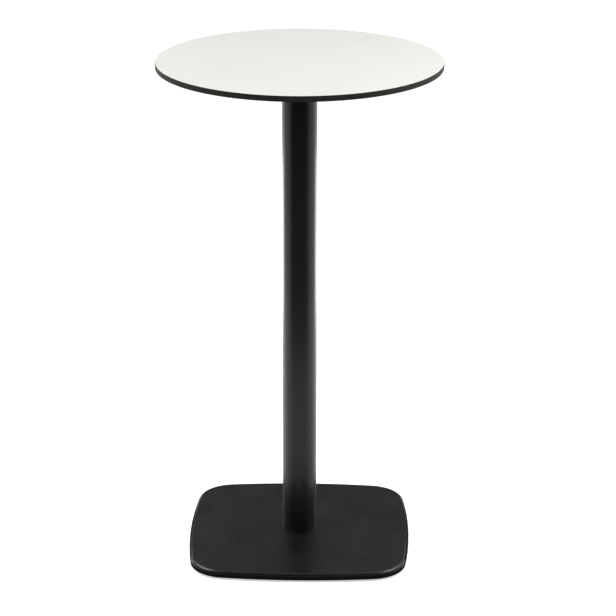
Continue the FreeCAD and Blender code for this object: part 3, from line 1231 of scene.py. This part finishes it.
@dataclass
class Spider(SubAssembly):
    """Cast spider under the top, with its screws and washers.

    Attributes:
        cast_round: Rounding of the casting's edges.
        cast_sharp: Least angle in degrees that makes one of its edges sharp.
        screw_circles: Distances of the screws from the axis.
        screw_crest: Outer radius of the thread.
        screw_root: Inner radius of the thread.
        screw_pitch: Rise of one turn of the thread.
        head_radius: Radius of a screw head.
        head_dome: Corners of the head's dome, as shares of its radius and height.
        head_facets: Facets round a screw head.
        head_sharp: Least angle in degrees that makes an edge of a head sharp.
        socket_flats: Width of the key socket.
        socket_depth: Depth of the key socket.
        washer_hole: Radius of a washer's hole.
        washer_radius: Outer radius of a washer.
        washer_facets: Facets round a washer.
        washer_round: Rounding of a washer's rolled edges.
    """

    cast_round: float = 1.0 * MM
    cast_sharp: float = 35.0
    screw_circles: Pair = SCREW_CIRCLES
    screw_crest: float = 3.0 * MM
    screw_root: float = 2.45 * MM
    screw_pitch: float = 1.0 * MM
    head_radius: float = 5.25 * MM
    head_dome: Profile = ((0.46, 0.02), (0.70, 0.22), (0.88, 0.52), (1.0, 0.90), (1.0, 1.0))
    head_facets: int = 48
    head_sharp: float = 35.0
    socket_flats: float = 4.0 * MM
    socket_depth: float = 2.0 * MM
    washer_hole: float = 3.3 * MM
    washer_radius: float = 6.0 * MM
    washer_facets: int = 64
    washer_round: float = 0.25 * MM

    def build(self) -> list[Piece]:
        """Make the casting, the screws and the washers.

        Returns:
            The casting, the screws and the washers.
        """
        return [
            self.hand_over(self.casting(), Slot.SPIDER, "top_spider"),
            self.hand_over(self.screws(), Slot.ZINC, "spider_screws"),
            self.hand_over(self.washers(), Slot.ZINC, "spider_washers"),
        ]

    def casting(self) -> Piece:
        """Round the edges of the spider as a casting's are.

        Returns:
            The casting.
        """
        piece = Bench.merged(self.solids["top_spider"], "cast_spider")
        Bench.soften(piece, self.cast_round, LARGE_ROUND, self.cast_sharp)
        return piece

    def screws(self) -> Piece:
        """Make one button-head screw with thread and key socket, and copy it to each place.

        Returns:
            The screws as one piece.
        """
        low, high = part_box("spider_screws")
        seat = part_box("spider_washers")[0].z
        dome = [
            (across * self.head_radius, low.z + up * (seat - low.z))
            for across, up in self.head_dome
        ]
        profile = [(0.0, low.z), *dome, (0.0, seat)]
        head = Bench.turned("screw_head", profile, self.head_facets)
        Bench.key_socket(head, self.socket_flats, self.socket_depth, low.z)
        Bench.smooth(head, self.head_sharp)
        shank = Bench.thread(
            "screw_thread", self.screw_crest, self.screw_root, self.screw_pitch, seat, high.z
        )
        screw = Bench.gather("screw", [head, shank])
        return Bench.repeat(screw, "button_head_screws", arm_places(self.screw_circles))

    def washers(self) -> Piece:
        """Turn one washer with rolled edges, and set a copy at each place.

        Returns:
            The washers as one piece.
        """
        low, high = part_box("spider_washers")
        section = ring_profile(self.washer_hole, self.washer_radius, low.z, high.z)
        washer = Bench.turned("washer", section, self.washer_facets)
        Bench.soften(washer, self.washer_round)
        return Bench.repeat(washer, "screw_washers", arm_places(self.screw_circles))


@dataclass
class Column(SubAssembly):
    """Round tube with a rubber ring at each end.

    Attributes:
        wall: Thickness of the tube.
        facets: Facets round the tube and the rings.
        end_round: Rounding of the tube's cut ends.
        ring_bulge: How far a squeezed ring stands out of the tube.
        ring_inset: How far the faces of a ring stay inside the tube.
        ring_round: Rounding of a ring's edges.
    """

    wall: float = 2.0 * MM
    facets: int = 160
    end_round: float = 0.35 * MM
    ring_bulge: float = 0.15 * MM
    ring_inset: float = 0.1 * MM
    ring_round: float = 0.15 * MM

    @property
    def radius(self) -> float:
        """Outer radius of the tube."""
        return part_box("column_tube")[1].x

    def build(self) -> list[Piece]:
        """Make the tube and one ring, and set a copy of the ring at each end.

        Returns:
            The tube and the rings.
        """
        pieces = [self.hand_over(self.tube(), Slot.COLUMN, "column_tube")]
        ring = self.ring()
        for end in ColumnEnd:
            solid = f"column_{end.value}_gasket"
            place = (0.0, 0.0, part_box(solid)[0].z)
            twin = Bench.copy(ring, f"column_{end.value}_rubber_ring", place)
            pieces.append(self.hand_over(twin, Slot.RUBBER, solid))
        Bench.discard(ring)
        return pieces

    def tube(self) -> Piece:
        """Give a round shell its wall and rounded ends.

        Returns:
            The tube.
        """
        low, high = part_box("column_tube")
        Bench.clear()
        bpy.ops.mesh.primitive_cylinder_add(
            vertices=self.facets,
            radius=self.radius,
            depth=high.z - low.z,
            end_fill_type="NOTHING",
            location=(0.0, 0.0, (low.z + high.z) / 2),
        )
        piece = Bench.added("coated_tube")
        Bench.modify(piece, "SOLIDIFY", thickness=self.wall, offset=-1.0, use_even_offset=True)
        Bench.soften(piece, self.end_round, LARGE_ROUND)
        return piece

    def ring(self) -> Piece:
        """Turn a rubber ring that bulges a little where the column squeezes it.

        Returns:
            The ring, with its lower face at zero.
        """
        low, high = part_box("column_head_gasket")
        height = high.z - low.z
        inner, outer = self.radius - self.wall, self.radius - self.ring_inset
        profile = [
            (inner, 0.0),
            (outer, 0.0),
            (self.radius + self.ring_bulge, height / 2),
            (outer, height),
            (inner, height),
            (inner, 0.0),
        ]
        piece = Bench.turned("ring", profile, self.facets)
        Bench.soften(piece, self.ring_round)
        return piece


@dataclass
class TieRod(SubAssembly):
    """Threaded rod inside the column, with a nut and a washer at each end.

    Attributes:
        crest: Outer radius of the thread.
        root: Inner radius of the thread.
        pitch: Rise of one turn.
        threaded: Length of the thread at each end.
        shank_facets: Facets round the plain shank.
        nut_flats: Width of a nut across its flats.
        nut_bore: Radius of a nut's bore.
        nut_lead: Chamfer of a nut's bore.
        nut_chamfer: Height of the turned chamfer on a nut's corners.
        nut_inset: How far a nut's face stays inside its flats.
        nut_facets: Facets round a nut's blank.
        washer_hole: Radius of a washer's hole.
        washer_facets: Facets round a washer.
        washer_round: Rounding of a washer's rolled edges.
    """

    crest: float = 6.0 * MM
    root: float = 5.1 * MM
    pitch: float = 1.75 * MM
    threaded: float = 42.0 * MM
    shank_facets: int = 48
    nut_flats: float = 19.0 * MM
    nut_bore: float = 6.1 * MM
    nut_lead: float = 0.4 * MM
    nut_chamfer: float = 0.8 * MM
    nut_inset: float = 0.2 * MM
    nut_facets: int = 72
    washer_hole: float = 6.5 * MM
    washer_facets: int = 96
    washer_round: float = 0.3 * MM

    def build(self) -> list[Piece]:
        """Make the rod, one nut and one washer, and set copies of these at each end.

        Returns:
            The rod, the nuts and the washers.
        """
        pieces = [self.hand_over(self.rod(), Slot.ZINC, "tie_rod")]
        nut, washer = self.nut(), self.washer()
        for end in RodEnd:
            for pattern, make, kind in ((nut, "hex", "nut"), (washer, "rolled", "washer")):
                solid = f"tie_rod_{end.value}_{kind}"
                place = (0.0, 0.0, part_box(solid)[0].z)
                twin = Bench.copy(pattern, f"{make}_{solid}", place)
                pieces.append(self.hand_over(twin, Slot.ZINC, solid))
        Bench.discard(nut, washer)
        return pieces

    def rod(self) -> Piece:
        """Make a plain shank and one thread, and join a copy of the thread to each end.

        Returns:
            The rod.
        """
        low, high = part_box("tie_rod")
        foot, head = low.z + self.threaded, high.z - self.threaded
        run_out = self.crest - self.root
        profile = [
            (0.0, foot),
            (self.root, foot),
            (self.crest, foot + run_out),
            (self.crest, head - run_out),
            (self.root, head),
            (0.0, head),
        ]
        shank = Bench.turned("rod_shank", profile, self.shank_facets)
        Bench.smooth(shank)
        thread = Bench.thread("thread", self.crest, self.root, self.pitch, 0.0, self.threaded)
        ends = [Bench.copy(thread, "rod_end", (0.0, 0.0, height)) for height in (low.z, head)]
        Bench.discard(thread)
        return Bench.gather("threaded_tie_rod", [shank, *ends])

    def nut(self) -> Piece:
        """Turn a nut's blank with chamfered rims, and cut its six flats.

        Returns:
            The nut, with its lower face at zero.
        """
        low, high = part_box("tie_rod_top_nut")
        height = high.z - low.z
        corner = Bench.hex_corner(self.nut_flats)
        face = self.nut_flats / 2 - self.nut_inset
        mouth = self.nut_bore + self.nut_lead
        profile = [
            (self.nut_bore, self.nut_lead),
            (mouth, 0.0),
            (face, 0.0),
            (corner, self.nut_chamfer),
            (corner, height - self.nut_chamfer),
            (face, height),
            (mouth, height),
            (self.nut_bore, height - self.nut_lead),
            (self.nut_bore, self.nut_lead),
        ]
        piece = Bench.turned("nut", profile, self.nut_facets)
        with Bench.edit(piece):
            for side in range(HEX_SIDES):
                angle = (side + 0.5) * FULL_TURN / HEX_SIDES
                way = Vector((math.cos(angle), math.sin(angle), 0.0))
                Bench.trim(way * self.nut_flats / 2, way, close=True)
        Bench.smooth(piece, FINE_SHARP)
        return piece

    def washer(self) -> Piece:
        """Turn a washer with rolled edges.

        Returns:
            The washer, with its lower face at zero.
        """
        low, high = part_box("tie_rod_top_washer")
        section = ring_profile(self.washer_hole, high.x, 0.0, high.z - low.z)
        piece = Bench.turned("tie_rod_washer", section, self.washer_facets)
        Bench.soften(piece, self.washer_round)
        return piece


@dataclass
class BaseCasting(SubAssembly):
    """Flat cast base with bowed sides."""

    def build(self) -> list[Piece]:
        """Dress the casting."""
        return [self.keep("base_casting", Slot.BASE)]


@dataclass
class Feet(SubAssembly):
    """Levelling feet: at each corner a pad, and the screw that turns in it.

    Attributes:
        key_hole: Radius of the hole in the sole.
        groove_radius: Radius of the groove that holds the screw's collar.
        groove: Lower and upper height of that groove.
        neck: Radius of the hole round the screw.
        sole_rings: Radii of the rings in the sole, as shares of the pad's radius.
        ring_mouth: Half the width of a ring at the sole.
        ring_floor: Half the width of a ring at its bottom.
        ring_depth: Depth of a ring.
        sole_bend: Width and height of the rounding from the sole to the side.
        sole_knee: Place of that rounding's middle corner, from the pad's side and sole.
        rim_chamfer: Chamfer of the pad's upper rim.
        pad_facets: Facets round the pad.
        pad_round: Rounding of the pad's edges.
        collar_radius: Radius of the collar.
        collar_top: Upper height of the collar.
        collar_chamfer: Chamfer of the collar.
        collar_facets: Facets round the collar.
        core_rise: How far the collar's plain core stands up into the thread.
        thread_rise: How far above the collar the thread starts.
        crest: Outer radius of the thread.
        root: Inner radius of the thread.
        pitch: Rise of one turn.
        key_flats: Width of the key socket.
        key_depth: Depth of the key socket.
    """

    key_hole: float = 3.5 * MM
    groove_radius: float = 7.2 * MM
    groove: Span = (1.8 * MM, 4.5 * MM)
    neck: float = 4.2 * MM
    sole_rings: tuple[float, ...] = (0.42, 0.60, 0.78)
    ring_mouth: float = 0.9 * MM
    ring_floor: float = 0.5 * MM
    ring_depth: float = 0.5 * MM
    sole_bend: float = 1.5 * MM
    sole_knee: float = 0.45 * MM
    rim_chamfer: float = 0.5 * MM
    pad_facets: int = 72
    pad_round: float = 0.12 * MM
    collar_radius: float = 7.0 * MM
    collar_top: float = 4.3 * MM
    collar_chamfer: float = 0.3 * MM
    collar_facets: int = 64
    core_rise: float = 2.0 * MM
    thread_rise: float = 1.2 * MM
    crest: float = 4.0 * MM
    root: float = 3.35 * MM
    pitch: float = 1.25 * MM
    key_flats: float = 4.0 * MM
    key_depth: float = 4.0 * MM

    def build(self) -> list[Piece]:
        """Make one pad and one screw, and set a copy of each at every corner.

        Returns:
            The pads and screws.
        """
        pad, screw = self.pad(), self.screw()
        kinds = (
            (pad, Slot.PLASTIC, "pad", "ringed_pad"),
            (screw, Slot.ZINC, "stud", "screw"),
        )
        pieces: list[Piece] = []
        for corner in Corner:
            low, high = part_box(f"foot_pad_{corner.value}")
            place = ((low.x + high.x) / 2, (low.y + high.y) / 2, 0.0)
            for pattern, slot, kind, make in kinds:
                solid = f"foot_{kind}_{corner.value}"
                twin = Bench.copy(pattern, f"foot_{make}_{corner.value}", place)
                pieces.append(self.hand_over(twin, slot, solid, solid))
        Bench.discard(pad, screw)
        return pieces

    def pad(self) -> Piece:
        """Turn a pad with rings in its sole and a groove for the collar.

        Returns:
            The pad, on the Z axis.
        """
        low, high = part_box(f"foot_pad_{Corner.FRONT_LEFT.value}")
        sole, top = low.z, high.z
        radius = (high.x - low.x) / 2
        groove_low, groove_high = self.groove
        profile = [(self.key_hole, sole)]
        for share in self.sole_rings:
            ring, floor = share * radius, sole + self.ring_depth
            profile += [(ring - self.ring_mouth, sole), (ring - self.ring_floor, floor)]
            profile += [(ring + self.ring_floor, floor), (ring + self.ring_mouth, sole)]
        profile += [
            (radius - self.sole_bend, sole),
            (radius - self.sole_knee, sole + self.sole_knee),
            (radius, sole + self.sole_bend),
            (radius, top - self.rim_chamfer),
            (radius - self.rim_chamfer, top),
            (self.neck, top),
            (self.neck, groove_high),
            (self.groove_radius, groove_high),
            (self.groove_radius, groove_low),
            (self.key_hole, groove_low),
            (self.key_hole, sole),
        ]
        piece = Bench.turned("pad", profile, self.pad_facets)
        Bench.soften(piece, self.pad_round)
        return piece

    def screw(self) -> Piece:
        """Join a collar with a key socket to a threaded shank.

        Returns:
            The screw, on the Z axis.
        """
        low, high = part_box(f"foot_stud_{Corner.FRONT_LEFT.value}")
        bottom, top = low.z, self.collar_top
        rim = self.collar_radius - self.collar_chamfer
        profile = [
            (0.0, bottom),
            (rim, bottom),
            (self.collar_radius, bottom + self.collar_chamfer),
            (self.collar_radius, top - self.collar_chamfer),
            (rim, top),
            (self.root, top),
            (self.root, top + self.core_rise),
            (0.0, top + self.core_rise),
        ]
        collar = Bench.turned("collar", profile, self.collar_facets)
        Bench.key_socket(collar, self.key_flats, self.key_depth, bottom)
        Bench.smooth(collar)
        start = top + self.thread_rise
        shank = Bench.thread("shank", self.crest, self.root, self.pitch, start, high.z)
        return Bench.gather("foot_screw", [collar, shank])


@dataclass
class Viewpoint:
    """Camera at the photograph's viewing angle.

    Attributes:
        distance: Distance from the column's axis along the floor.
        height: Height above the floor.
        bearing: Turn of the camera round the axis, from straight ahead.
        pitch: Downward tilt.
        yaw: Turn to the right.
        roll: Turn about the line of sight.
        lens: Focal length in millimetres.
        sensor: Width of the sensor in millimetres.
        reach: Farthest distance that is seen.
    """

    distance: float = 4.7507
    height: float = 2.2144
    bearing: float = 0.0230
    pitch: float = 0.3398
    yaw: float = 0.0038
    roll: float = -0.0013
    lens: float = 136.80
    sensor: float = 36.0
    reach: float = 200.0

    def build(self) -> list[Piece]:
        """Make the camera and give it to the scene.

        Returns:
            The camera, alone.
        """
        data = bpy.data.cameras.new("viewpoint")
        data.lens = self.lens
        data.sensor_width = self.sensor
        data.clip_end = self.reach
        camera = bpy.data.objects.new("viewpoint", data)
        turn = Matrix.Rotation(self.bearing, 3, "Z")
        ahead = turn @ Vector((
            math.sin(self.yaw) * math.cos(self.pitch),
            math.cos(self.yaw) * math.cos(self.pitch),
            -math.sin(self.pitch),
        ))
        camera.location = turn @ Vector((0.0, -self.distance, self.height))
        camera.rotation_mode = "QUATERNION"
        camera.rotation_quaternion = Quaternion(ahead, self.roll) @ ahead.to_track_quat("-Z", "Y")
        bpy.context.scene.collection.objects.link(camera)
        bpy.context.scene.camera = camera
        return [camera]


@dataclass
class Studio:
    """Pale floor, plain backdrop, soft lamps, and dark flags that only mirrored rays see.

    Attributes:
        floor_side: Side of the floor.
        floor_cuts: Cuts along the floor each way.
        floor_tone: Colour of the floor.
        floor_tint: Lightness of the floor's darker blotches, as a share of its own.
        floor_mottle: Width of the blotches.
        floor_roughness: Least and greatest roughness of the floor.
        floor_lift: White added to the floor as it is seen, near the table and far from it.
        floor_reach: Distances from the table between which that white rises.
        ambient: Strength of the light from all round.
        wall_tone: Brightness of the backdrop above the horizon.
        wall_rise: Heights on the unit sphere between which the backdrop darkens.
        sky_strength: Strength of the wide light overhead.
        sky_angle: Angle in degrees from which that light comes.
        sky_height: Height at which it hangs.
        box_size: Width and height of a softbox.
        box_place: Place of the right softbox.
        box_aim: Point that the softboxes face.
        box_radiance: Brightness of the left and of the right softbox.
        wash_size: Width and height of a lamp that lights the floor beside the table.
        wash_place: Place of the right one of these lamps.
        wash_radiance: Brightness of the left and of the right one.
        rim_size: Width and height of a low panel far behind at the side.
        rim_place: Place of the right one of these panels.
        rim_radiance: Brightness of the left and of the right one.
        screen_radius: Distance of the dark screen from the column.
        screen_height: Height of the screen.
        screen_depth: How far in front of the column the ends of the screen are.
        screen_facets: Facets of the full circle that the screen is cut from.
        card_side: Width of the dark card under the base.
        card_front: How far in front of the column the card ends.
        card_back: How far behind the column the card ends.
        card_round: Rounding of the card's corners.
        card_facets: Facets round one of these corners.
        card_lift: Height of the card above the floor.
        kerb_place: Distance of the dark kerbs from the column.
        kerb_ends: Front and back end of a kerb.
        kerb_height: Height of a kerb.
        cloth_tones: Colours of the dark cloth on screen, card and kerbs.
        cloth_weave: Width of the weave of the cloth.
        cloth_roughness: Least and greatest roughness of the cloth.
    """

    floor_side: float = 160.0
    floor_cuts: int = 3
    floor_tone: Colour = (0.58, 0.58, 0.58)
    floor_tint: float = 0.98
    floor_mottle: float = 0.6
    floor_roughness: Span = (0.75, 0.85)
    floor_lift: Span = (0.55, 0.72)
    floor_reach: Span = (0.6, 2.4)
    ambient: float = 0.30
    wall_tone: float = 0.05
    wall_rise: Span = (0.09, 0.22)
    sky_strength: float = 0.99
    sky_angle: float = 120.0
    sky_height: float = 4.0
    box_size: Pair = (0.9, 0.9)
    box_place: Place = (1.75, -0.6, 1.95)
    box_aim: Place = (0.0, 0.0, 0.75)
    box_radiance: Pair = (8.4, 12.4)
    wash_size: Pair = (0.9, 0.9)
    wash_place: Place = (1.0, 0.20, 0.9)
    wash_radiance: Pair = (5.0, 3.8)
    rim_size: Pair = (0.8, 0.45)
    rim_place: Place = (0.92, 1.10, 0.24)
    rim_radiance: Pair = (4.5, 3.9)
    screen_radius: float = 1.22
    screen_height: float = 1.5
    screen_depth: float = 0.61
    screen_facets: int = 64
    card_side: float = 0.55
    card_front: float = 0.345
    card_back: float = 0.20
    card_round: float = 0.11
    card_facets: int = 8
    card_lift: float = 0.2 * MM
    kerb_place: float = 0.247
    kerb_ends: Span = (-0.15, 0.22)
    kerb_height: float = 0.028
    cloth_tones: tuple[Colour, Colour] = ((0.015, 0.015, 0.015), (0.03, 0.03, 0.03))
    cloth_weave: float = 4 * MM
    cloth_roughness: Span = (0.85, 0.95)

    def build(self) -> list[Piece]:
        """Make the set.

        Returns:
            The floor, the dark flags and the lamps.
        """
        bpy.context.scene.view_settings.view_transform = "Standard"
        self.backdrop()
        floor = self.floor()
        flags = [self.screen(), self.card(), *self.kerbs()]
        cloth = self.cloth()
        for flag in flags:
            self.darken(flag, cloth)
        lamps = [lamp for flank in Flank for lamp in self.flank_lamps(flank)]
        return [floor, *flags, *lamps, self.sky()]

    def floor(self) -> Piece:
        """Lay the floor, which is clear from below.

        Returns:
            The floor.
        """
        Bench.clear()
        bpy.ops.mesh.primitive_plane_add(size=self.floor_side)
        floor = Bench.added("floor")
        with Bench.edit(floor):
            bpy.ops.mesh.subdivide(number_cuts=self.floor_cuts)
        floor.data.materials.append(self.floor_paint())
        return floor

    def floor_paint(self) -> bpy.types.Material:
        """Mix the floor's pale paint, to which white is added where the floor is seen.

        Returns:
            The material.
        """
        graph = Graph("floor_paint")
        mottle = graph.noise(self.floor_mottle, detail=3.0)
        deep = tinted(self.floor_tone, self.floor_tint)
        graph.colour(graph.blend(graph.spread(mottle, *NOISE_SPAN), self.floor_tone, deep))
        graph.roughness(graph.spread(mottle, *NOISE_SPAN, *self.floor_roughness))
        graph.set(Specular_IOR_Level=0.0)
        away = graph.add("ShaderNodeVectorMath", operation="LENGTH")
        graph.join(graph.place, away.inputs[0])
        lift = graph.add("ShaderNodeMath", operation="MULTIPLY")
        rise = graph.spread(away.outputs["Value"], *self.floor_reach, *self.floor_lift)
        graph.join(graph.seen(), lift.inputs[0])
        graph.join(rise, lift.inputs[1])
        white = graph.add("ShaderNodeEmission")
        graph.join(lift.outputs["Value"], white.inputs["Strength"])
        face = graph.add("ShaderNodeAddShader")
        graph.join(graph.shader.outputs["BSDF"], face.inputs[0])
        graph.join(white.outputs["Emission"], face.inputs[1])
        below = graph.add("ShaderNodeNewGeometry").outputs["Backfacing"]
        sheer = graph.add("ShaderNodeMixShader")
        graph.join(below, sheer.inputs["Fac"])
        graph.join(face.outputs["Shader"], sheer.inputs[1])
        graph.join(graph.add("ShaderNodeBsdfTransparent").outputs["BSDF"], sheer.inputs[2])
        graph.join(sheer.outputs["Shader"], graph.output.inputs["Surface"])
        return graph.material

    def backdrop(self) -> None:
        """Light the world: a backdrop, white at the horizon and dark above, and an even fill."""
        world = bpy.data.worlds.new("backdrop")
        world.use_nodes = True
        nodes = Nodes(world.node_tree)
        way = nodes.add("ShaderNodeSeparateXYZ")
        nodes.join(nodes.add("ShaderNodeTexCoord").outputs["Generated"], way.inputs["Vector"])
        shade = nodes.spread(way.outputs["Z"], *self.wall_rise, 1.0, self.wall_tone, Ramp.SOFT)
        mix = nodes.add("ShaderNodeMixShader")
        nodes.join(nodes.seen(), mix.inputs["Fac"])
        for index, strength in enumerate((self.ambient, shade), start=1):
            light = nodes.add("ShaderNodeBackground")
            nodes.feed(light.inputs["Color"], PLAIN_WHITE)
            nodes.feed(light.inputs["Strength"], strength)
            nodes.join(light.outputs["Background"], mix.inputs[index])
        output = nodes.add("ShaderNodeOutputWorld")
        nodes.join(mix.outputs["Shader"], output.inputs["Surface"])
        bpy.context.scene.world = world

    def screen(self) -> Piece:
        """Stand a curved dark screen in front, which the column mirrors.

        Returns:
            The screen.
        """
        Bench.clear()
        bpy.ops.mesh.primitive_circle_add(
            vertices=self.screen_facets, radius=self.screen_radius
        )
        screen = Bench.added("dark_screen")
        with Bench.edit(screen):
            rise = {"value": (0.0, 0.0, self.screen_height)}
            bpy.ops.mesh.extrude_region_move(TRANSFORM_OT_translate=rise)
            Bench.trim((0.0, -self.screen_depth, 0.0), (0.0, 1.0, 0.0))
        return screen

    def card(self) -> Piece:
        """Lay a dark card under the base, which the base's front and the column mirror.

        Returns:
            The card.
        """
        Bench.clear()
        bpy.ops.mesh.primitive_plane_add(
            size=self.card_side, location=(0.0, 0.0, self.card_lift)
        )
        card = Bench.added("dark_card")
        with Bench.edit(card):
            bpy.ops.mesh.bevel(
                offset=self.card_round, segments=self.card_facets, affect="VERTICES"
            )
            length = 2 * self.card_front / self.card_side
            bpy.ops.transform.resize(value=(1.0, length, 1.0))
            Bench.trim((0.0, self.card_back, 0.0), (0.0, 1.0, 0.0))
        return card

    def kerbs(self) -> list[Piece]:
        """Make one low dark kerb, and stand a copy on each side of the base, whose rim mirrors it.

        Returns:
            The left and the right kerb.
        """
        front, back = self.kerb_ends
        Bench.clear()
        bpy.ops.mesh.primitive_plane_add(
            size=back - front,
            location=(0.0, (front + back) / 2, 0.0),
            rotation=(0.0, math.pi / 2, 0.0),
        )
        kerb = Bench.added("kerb")
        with Bench.edit(kerb):
            for height, way in ((0.0, -1.0), (self.kerb_height, 1.0)):
                Bench.trim((0.0, 0.0, height), (0.0, 0.0, way))
        twins = []
        for flank in Flank:
            place = (flank.value * self.kerb_place, 0.0, 0.0)
            twins.append(Bench.copy(kerb, f"dark_kerb_{flank.label}", place))
        Bench.discard(kerb)
        return twins

    def cloth(self) -> bpy.types.Material:
        """Weave the dark cloth of screen, card and kerbs.

        Returns:
            The material.
        """
        graph = Graph("dark_cloth")
        weave = graph.noise(self.cloth_weave)
        graph.colour(graph.blend(weave, *self.cloth_tones))
        graph.roughness(graph.spread(weave, *NOISE_SPAN, *self.cloth_roughness))
        return graph.material

    def darken(self, flag: Piece, cloth: bpy.types.Material) -> None:
        """Cover a screen, card or kerb in cloth, and hide it from all but mirrored rays.

        Args:
            flag: Piece to cover.
            cloth: Material that covers it.
        """
        flag.data.materials.append(cloth)
        flag.visible_camera = False
        flag.visible_diffuse = False
        flag.visible_shadow = False
        flag.visible_transmission = False

    def hang(self, data: bpy.types.Light, place: Vector, aim: Vector) -> Piece:
        """Hang a lamp in its place, out of the camera's sight.

        Args:
            data: Light of the lamp.
            place: Where it hangs.
            aim: Point that it faces.

        Returns:
            The lamp.
        """
        lamp = bpy.data.objects.new(data.name, data)
        lamp.location = place
        lamp.rotation_mode = "QUATERNION"
        lamp.rotation_quaternion = (aim - place).to_track_quat("-Z", "Y")
        lamp.visible_camera = False
        bpy.context.scene.collection.objects.link(lamp)
        return lamp

    def panel(self, name: str, size: Pair, radiance: float, place: Vector, aim: Vector) -> Piece:
        """Hang a lamp with a flat face.

        Args:
            name: Name of the lamp.
            size: Width and height of its face.
            radiance: Brightness of its face.
            place: Where it hangs.
            aim: Point that it faces.

        Returns:
            The lamp.
        """
        data = bpy.data.lights.new(name, "AREA")
        data.shape = "RECTANGLE"
        data.size, data.size_y = size
        data.energy = radiance * math.pi * data.size * data.size_y
        return self.hang(data, place, aim)

    def flank_lamps(self, flank: Flank) -> list[Piece]:
        """Hang the lamps of one side.

        The softbox lights the table. The wash lights the floor that the column mirrors.
        The low panel behind draws the corners of the base and the rim of the column.

        Args:
            flank: Side on which they hang.

        Returns:
            The lamps.
        """
        side = list(Flank).index(flank)
        mirror = Vector((flank.value, 1.0, 1.0))
        box, wash, rim = (
            mirror * Vector(place) for place in (self.box_place, self.wash_place, self.rim_place)
        )
        lamps = (
            ("softbox", self.box_size, self.box_radiance, box, Vector(self.box_aim)),
            ("wash", self.wash_size, self.wash_radiance, wash, Vector((wash.x, wash.y, 0.0))),
            ("rim", self.rim_size, self.rim_radiance, rim, Vector((0.0, 0.0, rim.z))),
        )
        return [
            self.panel(f"{name}_{flank.label}", size, radiance[side], place, aim)
            for name, size, radiance, place, aim in lamps
        ]

    def sky(self) -> Piece:
        """Spread a wide even light from overhead.

        Returns:
            The light.
        """
        data = bpy.data.lights.new("sky", "SUN")
        data.energy = self.sky_strength
        data.angle = math.radians(self.sky_angle)
        return self.hang(data, Vector((0.0, 0.0, self.sky_height)), Vector(ORIGIN))


def finishes() -> list[Finish]:
    """List the finish of each slot.

    Returns:
        The finishes, from the top of the table to its feet.
    """
    return [
        DecorSheet(Slot.DECOR, tone=(0.85, 0.86, 0.81), accent=(0.835, 0.842, 0.79)),
        LaminateCore(Slot.CORE, tone=(0.016, 0.016, 0.0142), accent=(0.026, 0.0253, 0.022)),
        PowderCoat(
            Slot.COLUMN,
            tone=(0.004, 0.004, 0.0041),
            accent=(0.006, 0.006, 0.006),
            roughness=0.40,
            gloss=0.14,
            sleek=0.56,
        ),
        PowderCoat(
            Slot.SPIDER,
            tone=(0.006, 0.006, 0.006),
            accent=(0.009, 0.009, 0.0088),
            grain=1.1 * MM,
        ),
        PowderCoat(
            Slot.BASE,
            tone=(0.0018, 0.0018, 0.0019),
            accent=(0.003, 0.003, 0.003),
            roughness=0.32,
            gloss=0.43,
        ),
        PlatedSteel(Slot.ZINC, tone=(0.58, 0.59, 0.60), accent=(0.66, 0.67, 0.69)),
        TurnedBrass(Slot.BRASS, tone=(0.74, 0.55, 0.26), accent=(0.48, 0.33, 0.15)),
        DarkPolymer(
            Slot.RUBBER,
            tone=(0.012, 0.012, 0.012),
            accent=(0.022, 0.022, 0.021),
            roughness=0.75,
        ),
        DarkPolymer(
            Slot.PLASTIC,
            tone=(0.015, 0.015, 0.0152),
            accent=(0.025, 0.025, 0.025),
            roughness=0.55,
        ),
    ]


def note(piece: Piece) -> str:
    """Describe a piece by its number of faces, or by its kind where it has none."""
    return f"{len(piece.data.polygons)} faces" if piece.type == "MESH" else piece.type.lower()


def main() -> None:
    """Build the table's looks and the studio."""
    logging.basicConfig(level=logging.INFO, format="%(name)s: %(message)s")
    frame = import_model()
    palette = Palette(finishes())
    solids = frame["nodes"]
    makers: list[SubAssembly | Studio | Viewpoint] = [
        TopPanel(solids, palette),
        Spider(solids, palette),
        Column(solids, palette),
        TieRod(solids, palette),
        BaseCasting(solids, palette),
        Feet(solids, palette),
        Studio(),
        Viewpoint(),
    ]
    for maker in makers:
        for piece in maker.build():
            LOG.info("%s: %s, %s", type(maker).__name__, piece.name, note(piece))


if __name__ == "__main__":
    main()
